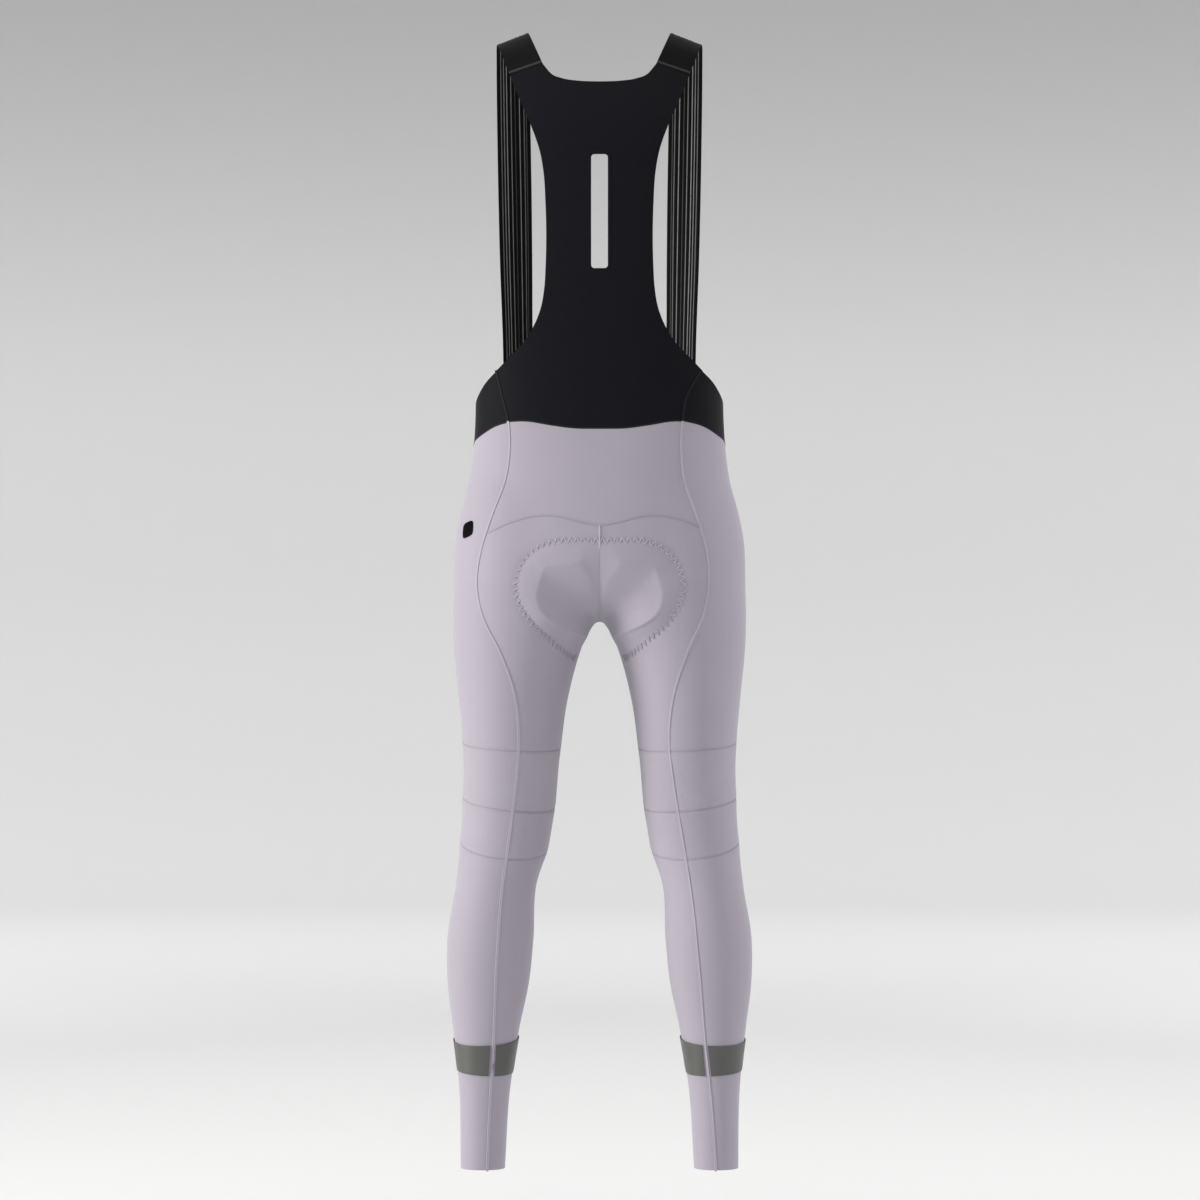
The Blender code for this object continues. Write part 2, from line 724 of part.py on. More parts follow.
def build_thigh(lines, look):
    """Hip side, front and inner front of the thigh of one side."""
    start = np.concatenate([lines["side upper"], lines["side lower"][1:]])
    end = np.concatenate([lines["front rise"], lines["inseam"][1:]])
    bottom = lines["knee top"][: COLUMNS_FRONT + 1]
    grid = fill_between(lines["belt"], bottom, start, end, front=True)
    pair_wall("thigh", lines, *on_figure(grid), look)


def lower_back_half(lines):
    """Half grid of the panel between the yoke seam and the seat seam."""
    share = np.linspace(0, 1, ROWS_LOWER_BACK + 1)[:, None, None]
    blend = (1 - share) * lines["yoke"][None] + share * lines["seat"][None]
    side = lines["side upper"]
    bend = (side - blend[:, -1])[:, None]
    columns = np.linspace(0, 1, COLUMNS_BACK + 1)[None, :, None]
    guide = blend + bend * columns
    half = on_back(guide[..., 0], -guide[..., 2])
    half[0], half[-1], half[:, -1] = lines["yoke"], lines["seat"], side
    return half


def front_waist_half(lines):
    """Half grid of the black waist, from the side seam to the middle of the front."""
    half = straight_between(lines["front top"], lines["belt"], 2)
    half[0], half[-1] = lines["front top"], lines["belt"]
    half[1, 0] = on_back(*waist_seam_point(0.5, lines["side"]))
    return half


def build_bib(look):
    """Black bib back with its slot."""
    grid = across_middle(bib_half(1), bib_half(-1))
    middle = grid.shape[1] // 2
    slot_rows = range(BIB_ROWS_ABOVE_SLOT, BIB_ROWS_ABOVE_SLOT + BIB_ROWS_AT_SLOT)
    slot = [(i, j) for i in slot_rows for j in (middle - 1, middle)]
    cloth_wall("bib_back", *on_figure(grid), look, left_out=slot)
    return grid[0]


def strap_edges(neck_row, lines):
    """The strap's inner and outer edge, from the bib over the crest to the front waist."""
    starts = (neck_row[-3], neck_row[-1])
    ends = (lines["strap foot"][-1], lines["strap foot"][0])
    route = np.array(list(STRAP_ROUTE.values()), float)
    edges = []
    for k in range(2):
        middle = route[:, 3 * k : 3 * k + 3] * np.array([1, 1, -1])
        points = np.concatenate([[starts[k]], middle, [ends[k]]])
        lengths = arc_lengths(points)
        at = np.linspace(0, lengths[-1], STRAP_ROWS + 1)
        edges.append(np.stack([smooth_curve(lengths, points[:, a], at) for a in range(3)], axis=1))
    return edges


def build_strap(neck_row, lines, look):
    """Ribbed elastic strap of one side, sewn edge to edge to the bib and the front waist."""
    inner_edge, outer_edge = strap_edges(neck_row, lines)
    columns = 2 * STRAP_RIBS
    u = np.linspace(0, 1, columns + 1)[None, :, None]
    grid = (1 - u) * inner_edge[:, None] + u * outer_edge[:, None]
    along = np.gradient(grid, axis=0)
    across = np.gradient(grid, axis=1)
    normal = np.cross(along, across)
    for end, seam in ((0, neck_row[-3:]), (-1, lines["strap foot"][::-1])):
        share = np.linspace(0, len(seam) - 1, columns + 1)
        for axis in range(3):
            grid[end, :, axis] = np.interp(share, np.arange(len(seam)), seam[:, axis])
        normal[end] = figure_slope(grid[end])
    normal /= np.linalg.norm(normal, axis=-1, keepdims=True)
    grid = inset_edges(grid, "tb")
    rib = np.where(np.arange(columns + 1) % 2 == 1, RIB_RISE, 0.0)[None, :, None]
    rib = rib * np.clip(np.arange(len(grid)) - STRAP_PLAIN_ROWS, 0, 1)[:, None, None]
    pair_wall("strap", lines, grid + normal * rib, grid - normal * STRAP_CLOTH, look)


def lower_leg_rings(lines):
    """Rings from the knee to the hem, by name."""
    rings = {"knee top": lines["knee top"]}
    for name in ("knee middle", "knee bottom", "band top", "band bottom", "hem"):
        start = seam_point(name, lines["side"])
        rings[name] = leg_ring(name, start, COLUMNS_FRONT, COLUMNS_BACK)
    return rings


def ring_grid(top, bottom, rows, side):
    """A grid between two rings, whose first and last column follow the side-back seam."""
    top_flat = np.stack([np.unwrap(flat_to_leg(top)[0]), -top[:, 2]], axis=-1)
    bottom_flat = np.stack([np.unwrap(flat_to_leg(bottom)[0]), -bottom[:, 2]], axis=-1)
    v = np.linspace(0, 1, rows + 1)[:, None, None]
    flat = (1 - v) * top_flat[None] + v * bottom_flat[None]
    drops = flat[:, 0, 1]
    seam = on_back(seam_x(drops, side), drops)
    seam_angle, _ = flat_to_leg(seam)
    shift = (seam_angle - flat[:, 0, 0])[:, None]
    nearness = np.abs(np.linspace(-1, 1, flat.shape[1]))[None, :] ** 4
    flat[..., 0] += shift * nearness
    grid = on_leg(flat[..., 0], flat[..., 1])
    grid[0], grid[-1] = top, bottom
    grid[1:-1, 0] = seam[1:-1]
    grid[1:-1, -1] = seam[1:-1]
    return grid


def build_lower_leg(lines, knee_look, leg_look, band_look):
    """Two knee panels, the lower leg and its band on one side, closed by the back seam."""
    rings = lower_leg_rings(lines)

    def between(top, bottom, rows):
        return ring_grid(rings[top], rings[bottom], rows, lines["side"])

    upper = between("knee top", "knee middle", ROWS_KNEE)
    lower = between("knee middle", "knee bottom", ROWS_KNEE)
    pair_wall("knee_upper", lines, *on_figure(upper), knee_look)
    pair_wall("knee_lower", lines, *on_figure(lower), leg_look)
    calf = between("knee bottom", "band top", ROWS_CALF)
    under_band = between("band top", "band bottom", ROWS_BAND)
    cuff = between("band bottom", "hem", ROWS_CUFF)
    outer, inner = on_figure(np.concatenate([calf, under_band[1:], cuff[1:]]), "tlr")
    pair_wall("lower_leg", lines, outer, inner, leg_look)
    build_ankle_band(lines, outer[ROWS_CALF : ROWS_CALF + ROWS_BAND + 1], band_look)


def build_ankle_band(lines, rows, look):
    """Reflective band round the lower leg, made from its points and short of the back seam."""
    base = np.array(rows)
    for edge, inner in ((0, 1), (-1, -2)):
        step = base[:, inner] - base[:, edge]
        length = np.linalg.norm(step, axis=-1, keepdims=True)
        base[:, edge] += step / length * BAND_SHORT_OF_SEAM
    under = lift(base, np.full(base.shape[:-1], SEAM_GAP))
    over = lift(base, np.full(base.shape[:-1], SEAM_GAP + BAND_CLOTH))
    pair_wall("ankle_band", lines, over, under, look)


def walk_sideways(start, width, count):
    """Points at even steps straight sideways over the surface from one on the centre seam."""
    points = [start]
    heading = np.array([1.0, 0.0, 0.0])
    fine_steps = 4
    for _ in range(count):
        point = points[-1]
        for _ in range(fine_steps):
            slope = figure_slope(point[None])[0]
            normal = slope / np.linalg.norm(slope)
            heading = heading - normal * (heading @ normal)
            heading /= np.linalg.norm(heading)
            point = settle((point + heading * width / count / fine_steps)[None], 3)[0]
        points.append(point)
    return points


def build_pad(lines, look):
    """Seat pad inside the cloth, from the seat through the fork to the front."""
    rise = lines["whole rise"]
    fork = int(np.argmin(rise[:, 2]))
    start = int(np.argmin(np.abs(rise[:fork, 2] + PAD_BACK_DROP)))
    line = rise[start:]
    lengths = arc_lengths(line)
    stations, half_widths = columns_of(PAD_OUTLINE)
    at = np.linspace(0, stations[-1], PAD_ROWS + 1)
    centre = settle(np.stack([np.interp(at, lengths, line[:, k]) for k in range(3)], axis=1))
    widths = smooth_curve(stations, half_widths, at)
    half = np.array([walk_sideways(c, w, PAD_COLUMNS) for c, w in zip(centre, widths)])
    grid = across_middle(half, half)
    u = np.abs(np.linspace(-1, 1, grid.shape[1]))[None, :]
    v = np.abs(np.linspace(-1, 1, grid.shape[0]))[:, None]
    crown = (1 - u**4) * (1 - v**6)
    under = CLOTH + PAD_CLEARANCE - pad_relief(grid)
    outer = lift(grid, -under)
    inner = lift(grid, -(under + PAD_EDGE + PAD_CROWN * crown))
    cloth_wall("seat_pad", outer, inner, look)


def build_label(look):
    """Small rounded label on the left hip."""
    steps = np.linspace(-1, 1, LABEL_CELLS + 1)
    down, across = np.meshgrid(steps, steps, indexing="ij")
    pull = 1 - LABEL_ROUNDING * (across * down) ** 2
    middle = on_back(np.array([LABEL_MIDDLE[0]]), np.array([LABEL_MIDDLE[1]]))
    slope = figure_slope(middle)[0]
    normal = slope / np.linalg.norm(slope)
    sideways = np.cross([0.0, 0.0, 1.0], normal)
    sideways /= np.linalg.norm(sideways)
    upwards = np.cross(normal, sideways)
    turn_x = math.cos(LABEL_TURN) * sideways + math.sin(LABEL_TURN) * upwards
    turn_y = math.cos(LABEL_TURN) * upwards - math.sin(LABEL_TURN) * sideways
    offset = LABEL_HALF_ACROSS * across[..., None] * turn_x - LABEL_HALF_DOWN * down[..., None] * turn_y
    grid = settle(middle + offset * pull[..., None])
    under = lift(grid, np.full(pull.shape, SEAM_GAP))
    over = lift(grid, np.full(pull.shape, SEAM_GAP + LABEL_CLOTH))
    cloth_wall("hip_label", over, under, look)


def main():
    """Clears the scene and builds every piece."""
    for obj in list(bpy.data.objects):
        bpy.data.objects.remove(obj)
    collection = bpy.data.collections.new("cycling_bib_tights")
    bpy.context.scene.collection.children.link(collection)
    lilac = (make_material("lilac_knit", LILAC, 0.62), collection)
    textured = (make_material("lilac_textured_knit", LILAC, 0.7), collection)
    black = (make_material("black_knit", BLACK, 0.7), collection)
    elastic = (make_material("black_elastic", BLACK, 0.5), collection)
    reflective = (make_material("reflective_film", GREY, 0.45), collection)
    foam = (make_material("pad_foam", FOAM, 0.85), collection)
    label = (make_material("label", BLACK, 0.4), collection)

    neck_row = build_bib(black)
    sides = (seam_lines(1), seam_lines(-1))
    front_waist = across_middle(*[front_waist_half(lines)[:, ::-1] for lines in sides])
    cloth_wall("front_waist", *on_figure(front_waist), black)
    lower_back = across_middle(*[lower_back_half(lines) for lines in sides])
    cloth_wall("lower_back", *on_figure(lower_back), lilac)
    for lines in sides:
        build_strap(neck_row, lines, elastic)
        build_seat(lines, lilac)
        build_thigh(lines, lilac)
        build_lower_leg(lines, textured, lilac, reflective)
    build_pad(sides[0], foam)
    build_label(label)


main()
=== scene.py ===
"""Long cycling bib tights, filled out as they are worn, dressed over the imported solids.

The wearer faces -Y and the wearer's left side is at +X. The origin lies midway between the two
shoulder straps and the garment hangs below it, so heights are given as a drop below the origin.
Sizes are in millimetres and become metres when a mesh is made. Seam places are those of the left
side. A lean is how far the seams of both sides lie over to the wearer's left.
"""
import sys
import logging
import math
from dataclasses import dataclass, field
from enum import Enum
from typing import Callable, Optional, Sequence

import bpy
import numpy as np
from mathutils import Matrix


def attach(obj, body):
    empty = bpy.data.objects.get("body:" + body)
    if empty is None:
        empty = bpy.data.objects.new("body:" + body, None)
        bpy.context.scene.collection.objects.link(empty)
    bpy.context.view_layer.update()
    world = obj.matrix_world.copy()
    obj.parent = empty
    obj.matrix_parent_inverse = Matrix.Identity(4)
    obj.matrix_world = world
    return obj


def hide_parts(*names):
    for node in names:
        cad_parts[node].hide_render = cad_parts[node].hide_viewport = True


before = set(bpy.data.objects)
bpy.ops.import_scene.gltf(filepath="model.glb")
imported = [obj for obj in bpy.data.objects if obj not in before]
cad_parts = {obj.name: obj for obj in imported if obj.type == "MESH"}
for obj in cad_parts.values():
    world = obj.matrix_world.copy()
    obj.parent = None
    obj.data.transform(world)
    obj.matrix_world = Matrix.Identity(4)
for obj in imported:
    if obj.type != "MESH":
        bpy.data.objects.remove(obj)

LOG = logging.getLogger("bib_tights")
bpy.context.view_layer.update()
MM = 0.001
TINY = 1e-9
SHARP_ANGLE = math.radians(50)
BODY = "root"
Array = np.ndarray
Table = dict[str, tuple[float, ...]]
Relief = Callable[[Array], Array]
Triple = tuple[float, float, float]
Material = bpy.types.Material
Piece = bpy.types.Object
Socket = bpy.types.NodeSocket
Strip = tuple[Array, Array, Array, list[list[int]]]


class Side(Enum):
    """The wearer's side that a piece is on."""

    LEFT = 1
    RIGHT = -1

    @property
    def word(self) -> str:
        """The side's name as the pieces use it."""
        return self.name.lower()


class Slot(Enum):
    """The material slots."""

    LILAC = "lilac_knit"
    TEXTURED = "textured_knit"
    BLACK = "black_knit"
    ELASTIC = "black_elastic"
    REFLECTIVE = "reflective_film"
    FOAM = "pad_foam"
    LABEL = "label"


# Torso sections: drop, half width, reach of the front and of the back from the shoulder line.
TORSO_SECTIONS: Table = {
    "nape": (36, 150, 50, 57),
    "shoulder blades": (110, 165, 86, 88),
    "chest": (190, 168, 100, 98),
    "ribs": (280, 160, 102, 92),
    "small of back": (360, 152, 99, 79),
    "waist": (430, 149.5, 97, 75),
    "belt": (475, 150.5, 98, 81),
    "hip bone": (530, 156, 98, 97),
    "hip": (585, 167, 95, 112),
    "seat": (640, 175, 92, 118),
}

# Leg sections: drop, inner and outer edge from the middle, reach of the front and of the back.
LEG_SECTIONS: Table = {
    "seat": (660, 3, 176, 90, 108),
    "fork": (703, 9, 176.8, 88, 98),
    "upper thigh": (728, 19, 176.4, 88, 91),
    "thigh": (800, 39, 170, 84, 77),
    "above knee": (862, 47.5, 164.8, 77, 63),
    "knee": (926, 53.5, 165.3, 70, 51),
    "below knee": (980, 62.5, 168.8, 59, 53),
    "calf top": (1022, 75.8, 173.2, 49, 62),
    "calf": (1088, 79.6, 183.4, 42, 70),
    "low calf": (1142, 85.2, 183, 36, 66),
    "shin": (1196, 96.6, 176.4, 28, 57),
    "reflective band": (1232, 102.6, 172.2, 23, 51),
    "ankle": (1268, 107.6, 169.2, 19, 46),
    "hem": (1365, 114, 167.4, 17, 40),
}

# Side-back seam, from the corner of the waist to the cuff: drop, distance from the middle, lean.
SIDE_BACK_SEAM: Table = {
    "corner": (404, 123.5, 1),
    "waist": (434, 111.5, 6),
    "yoke": (465, 105, 5),
    "below yoke": (500, 103.3, 5),
    "hip bone": (536, 107.5, 5.8),
    "hollow of hip": (580, 123, 6.3),
    "hip": (628, 136.4, 7.2),
    "widest": (665, 138.5, 8.4),
    "under seat": (700, 132, 8),
    "back of thigh": (743, 112, 7.5),
    "thigh": (792, 95.5, 7),
    "above knee": (848, 90, 7),
    "knee": (900, 94.5, 6),
    "below knee": (950, 101.5, 5),
    "calf top": (1037, 114, 3.8),
    "calf": (1118, 121, 2.4),
    "shin": (1208, 126.6, 0.5),
    "ankle": (1280, 132.5, -1.2),
    "hem": (1366, 137.5, -2.4),
}
WAIST_CORNER_DROP = 404.0
YOKE_END_DROP = 465.0
SEAT_SEAM_END_DROP = 596.0

# Yoke seam on the back, from the middle to the side-back seam: distance from the middle, drop.
YOKE_SEAM: Table = {
    "middle": (0, 474),
    "inner": (30, 473.5),
    "rise": (60, 469.5),
    "crest": (88, 465),
    "side-back seam": (112, 465.5),
}

# Seam over the seat, from the middle to the side-back seam: distance from the middle, drop.
SEAT_SEAM: Table = {
    "middle": (0, 591),
    "inner": (25, 586.5),
    "rise": (45, 581),
    "crest": (68, 579),
    "outer": (100, 585),
    "side-back seam": (135, 600),
}

# Lower edge of the front waist: degrees from the side, positive to the back, and drop.
BELT_LINE: Table = {
    "side-back seam": (31.6, 465),
    "behind side": (24, 469.5),
    "near side": (14, 481),
    "side": (0, 492),
    "front of side": (-20, 501),
    "front": (-45, 511.5),
    "belly": (-70, 519),
    "middle": (-90, 522),
}

# Upper edge of the front waist, in the same columns. The strap is sewn between its two edges.
FRONT_TOP: Table = {
    "back corner": (22.3, 404),
    "behind side": (16, 417),
    "near side": (9, 433),
    "side": (0, 446),
    "strap outer edge": (-31, 452),
    "strap inner edge": (-47.7, 446),
    "scoop": (-64, 459),
    "low scoop": (-78, 467),
    "middle": (-90, 469),
}

# Free edge of the bib, from the strap to the corner of the waist: drop, distance from the middle.
BIB_EDGE: Table = {
    "strap": (49.5, 108),
    "below strap": (75, 98),
    "shoulder blade": (109, 83.4),
    "arm": (144, 71.4),
    "upper waist": (168, 67.2),
    "slimmest": (205, 64.8),
    "lower waist": (278, 64.6),
    "start of flare": (308, 66.5),
    "flare": (330, 70.5),
    "wide flare": (353, 79.8),
    "low flare": (371, 91.2),
    "near corner": (386, 106),
    "corner": (404, 123.5),
}

# Neckline of the bib, from the middle to the strap: distance from the middle, drop.
NECKLINE: Table = {
    "middle": (0, 58),
    "inner": (25, 57),
    "outer": (44, 54),
    "bend": (58, 48),
    "strap": (68, 36),
}
STRAP_SEAM_OUTER = (108.0, 49.5)
SLOT_HALF_WIDTH = 10.4
SLOT_TOP = 146.5
SLOT_BOTTOM = 283.5

# Strap route: inner edge x, y, drop and outer edge x, y, drop, between the bib and the waist.
STRAP_ROUTE: Table = {
    "behind crest": (80.4, 33, 8, 118.7, 31, 21),
    "near crest": (84.7, 17, -1.8, 121.9, 16, 12.4),
    "crest": (86.3, 1, -4.5, 123.8, 1, 10),
    "past crest": (86.8, -16, -1.8, 124.6, -15, 12.4),
    "ahead of crest": (86.5, -33, 8, 124.8, -30, 21),
    "collar": (85.4, -64, 45, 125, -57, 55),
    "chest": (84.2, -90, 115, 124.5, -80, 118),
    "breast": (83, -99, 195, 123.2, -87, 195),
    "lower ribs": (82.4, -99.5, 267, 121.4, -85, 267),
    "belly": (81.8, -95.5, 370, 117.6, -78.5, 372),
}

# Leg rings: drop of the middle, how much higher the outer side is, how much higher the front is.
LEG_RINGS: Table = {
    "knee top": (855.5, 3.5, 6),
    "knee middle": (924.5, 6.5, 9),
    "knee bottom": (977, 6, 14),
    "band top": (1208.5, -1.5, 7),
    "band bottom": (1247, 1.5, 5),
    "hem": (1364.5, 0, 1.5),
}

# Seat pad: distance along the centre seam from its back edge, half width.
PAD_OUTLINE: Table = {
    "back edge": (0, 58),
    "back shoulder": (14, 84),
    "widest": (55, 100),
    "under seat": (105, 86),
    "fork": (160, 47),
    "front": (205, 38),
    "front shoulder": (245, 33),
    "front edge": (262, 20),
}


def columns_of(table: Table) -> Array:
    """The columns of a table whose rows have names, as arrays."""
    return np.array(list(table.values()), float).T


def smooth_curve(stations: Array, values: Array, at: Array) -> Array:
    """A cubic through the values whose slope at each station comes from its neighbours.

    Args:
        stations: where the values stand, rising.
        values: the values at the stations.
        at: where the curve is wanted, held between the first and the last station.

    Returns:
        The curve at each place of at.
    """
    slopes = np.gradient(values, stations)
    at = np.clip(at, stations[0], stations[-1])
    cell = np.clip(np.searchsorted(stations, at) - 1, 0, len(stations) - 2)
    span = stations[cell + 1] - stations[cell]
    t = (at - stations[cell]) / span
    start = (2 * t**3 - 3 * t**2 + 1) * values[cell] + (t**3 - 2 * t**2 + t) * span * slopes[cell]
    end = (3 * t**2 - 2 * t**3) * values[cell + 1] + (t**3 - t**2) * span * slopes[cell + 1]
    return start + end


def read_table(table: Table, at: Array) -> list[Array]:
    """All later columns of a table at the given values of its first column."""
    stations, *columns = columns_of(table)
    return [smooth_curve(stations, column, at) for column in columns]


def stack(x: Array, y: Array, z: Array) -> Array:
    """Points from three arrays of coordinates."""
    return np.stack(np.broadcast_arrays(x, y, z), axis=-1).astype(float)


def smooth_step(value: Array, low: float, high: float) -> Array:
    """Rises from 0 at low to 1 at high as 3 t squared less 2 t cubed."""
    t = np.clip((value - low) / (high - low), 0, 1)
    return t * t * (3 - 2 * t)


def unit(vectors: Array) -> Array:
    """Vectors made one long."""
    return vectors / np.maximum(np.linalg.norm(vectors, axis=-1, keepdims=True), TINY)


def arc_lengths(line: Array) -> Array:
    """Distance along a line of points to each of them."""
    steps = np.linalg.norm(np.diff(line, axis=0), axis=1)
    return np.concatenate([[0.0], np.cumsum(steps)])


def points_along(line: Array, at: Array) -> Array:
    """Points of a line at distances along it."""
    lengths = arc_lengths(line)
    return np.stack([np.interp(at, lengths, line[:, k]) for k in range(3)], axis=1)


def mirrored(points: Array) -> Array:
    """Points on the wearer's other side."""
    return points * np.array([-1.0, 1.0, 1.0])


def across_middle(left: Array, right: Array) -> Array:
    """Half grids whose first columns lie in the middle, joined. The right one comes mirrored."""
    return np.concatenate([mirrored(right[:, :0:-1]), left], axis=1)


@dataclass(frozen=True)
class Figure:
    """A torso and two legs of rounded sections, run softly into each other.

    A point lies outside a form by its distance from the section's middle times one less the
    inverse of its measure, the root of the summed powers of its offsets over the half sizes.
    """

    torso_squareness: float = 2.4
    leg_squareness: float = 2.15
    fork_blend: float = 9.0
    hip_blend: float = 3.5
    blend_width: float = 60.0
    hip_drop: float = 612.0
    bowl_depth: float = 84.0
    leg_top_drop: float = 660.0
    leg_top_reach: float = 165.0
    rise_centre_drop: float = 560.0
    block: int = 6000

    @staticmethod
    def outside(offset: Sequence[Array], halves: Sequence[Array], squareness: float) -> Array:
        """How far points lie outside a rounded form, along the line from its middle."""
        ratios = [np.abs(o / h) ** squareness for o, h in zip(offset, halves)]
        measure = np.maximum(sum(ratios) ** (1 / squareness), 1e-6)
        return np.sqrt(sum(o**2 for o in offset)) * (1 - 1 / measure)

    def leg_axis(self, drop: Array) -> tuple[Array, Array, Array, Array]:
        """Middle of the leg's section across and to the back, and its two half sizes."""
        inner, outer, front, back = read_table(LEG_SECTIONS, drop)
        return (inner + outer) / 2, (back - front) / 2, (outer - inner) / 2, (front + back) / 2

    def gap(self, points: Array) -> Array:
        """How far points lie outside the figure: a soft least of the torso's and legs' gaps."""
        x, y, drop = points[..., 0], points[..., 1], -points[..., 2]
        half_width, front, back = read_table(TORSO_SECTIONS, np.minimum(drop, self.hip_drop))
        below = np.maximum(drop - self.hip_drop, 0)
        halves = (half_width, np.where(y > 0, back, front), self.bowl_depth)
        gaps = [self.outside((x, y, below), halves, self.torso_squareness)]
        middle_x, middle_y, half_x, half_y = self.leg_axis(drop)
        above = np.minimum(drop - self.leg_top_drop, 0)
        for side in Side:
            offset = (x * side.value - middle_x, y - middle_y, above)
            halves = (half_x, half_y, self.leg_top_reach)
            gaps.append(self.outside(offset, halves, self.leg_squareness))
        every = np.stack(gaps)
        near_fork = np.exp(-((x / self.blend_width) ** 2))
        blend = self.hip_blend + (self.fork_blend - self.hip_blend) * near_fork
        least = every.min(axis=0)
        return least - blend * np.log(np.exp((least - every) / blend).sum(axis=0))

    def slope(self, points: Array, step: float = 0.4) -> Array:
        """Gradient of the gap by central differences."""
        slope = np.empty_like(points)
        for axis in range(3):
            move = np.zeros(3)
            move[axis] = step
            slope[..., axis] = (self.gap(points + move) - self.gap(points - move)) / (2 * step)
        return slope

    def normals(self, points: Array) -> Array:
        """Outward normals of the figure at points."""
        return unit(self.slope(points))

    def settle(self, points: Array, rounds: int = 6) -> Array:
        """Moves points along the gap's gradient until they lie on the figure."""
        points = np.array(points, float)
        for _ in range(rounds):
            slope = self.slope(points)
            points -= slope * (self.gap(points) / (slope**2).sum(axis=-1))[..., None]
        return points

    def ray_out(self, origins: Array, directions: Array, reach: float = 260.0,
                samples: int = 66, rounds: int = 12) -> Array:
        """Where rays that start inside the figure first leave it.

        Args:
            origins: points inside the figure.
            directions: unit vectors, one for each origin.
            reach: how far the rays are followed.
            samples: how many probes lie along each ray.
            rounds: how often the found span is halved.

        Returns:
            The points on the figure, in the shape of origins.
        """
        shape = origins.shape
        origins = origins.reshape(-1, 3)
        directions = np.broadcast_to(directions, shape).reshape(-1, 3)
        lengths = np.linspace(0, reach, samples)
        found = []
        for first in range(0, len(origins), self.block):
            start, way = origins[first : first + self.block], directions[first : first + self.block]
            probes = start[:, None] + way[:, None] * lengths[:, None]
            leaves = np.argmax(self.gap(probes) > 0, axis=-1)
            high, low = lengths[leaves], lengths[np.maximum(leaves - 1, 0)]
            for _ in range(rounds):
                middle = (low + high) / 2
                outside = self.gap(start + way * middle[:, None]) > 0
                high = np.where(outside, middle, high)
                low = np.where(outside, low, middle)
            found.append(start + way * high[:, None])
        return np.concatenate(found).reshape(shape)

    def on_back(self, x: Array, drop: Array) -> Array:
        """Points of the back surface at a distance from the middle and a drop."""
        inside = stack(x, 0.0, -np.asarray(drop, float))
        return self.ray_out(inside, np.array([0.0, 1.0, 0.0]))

    def on_waist(self, degrees: Array, drop: Array) -> Array:
        """Points of the torso at an angle from the side, positive to the back, and a drop."""
        angle = np.radians(degrees)
        inside = stack(0.0, 0.0, -np.asarray(drop, float) + 0 * angle)
        return self.ray_out(inside, stack(np.cos(angle), np.sin(angle), 0.0 * angle))

    def on_leg(self, angle: Array, drop: Array) -> Array:
        """Points of the left leg and hip at an angle about the leg's axis and a drop."""
        middle_x, middle_y, _, _ = self.leg_axis(drop)
        inside = stack(middle_x, middle_y, -np.asarray(drop, float))
        return self.ray_out(inside, stack(np.cos(angle), np.sin(angle), 0.0 * angle))

    def on_rise(self, angle: Array) -> Array:
        """Points of the centre seam, at an angle below the horizontal in the middle plane."""
        inside = stack(0.0, 0.0, -self.rise_centre_drop + 0 * angle)
        return self.ray_out(inside, stack(0.0 * angle, np.cos(angle), -np.sin(angle)))

    def even_points(self, line: Array, count: int) -> Array:
        """The line's points at even distances, one more than count, on the figure."""
        return self.settle(points_along(line, np.linspace(0, arc_lengths(line)[-1], count + 1)))

    def flat_to_leg(self, points: Array) -> tuple[Array, Array]:
        """Angle about the leg's axis and drop of points."""
        drop = -points[..., 2]
        middle_x, middle_y, _, _ = self.leg_axis(drop)
        return np.arctan2(points[..., 1] - middle_y, points[..., 0] - middle_x), drop


FIGURE = Figure()


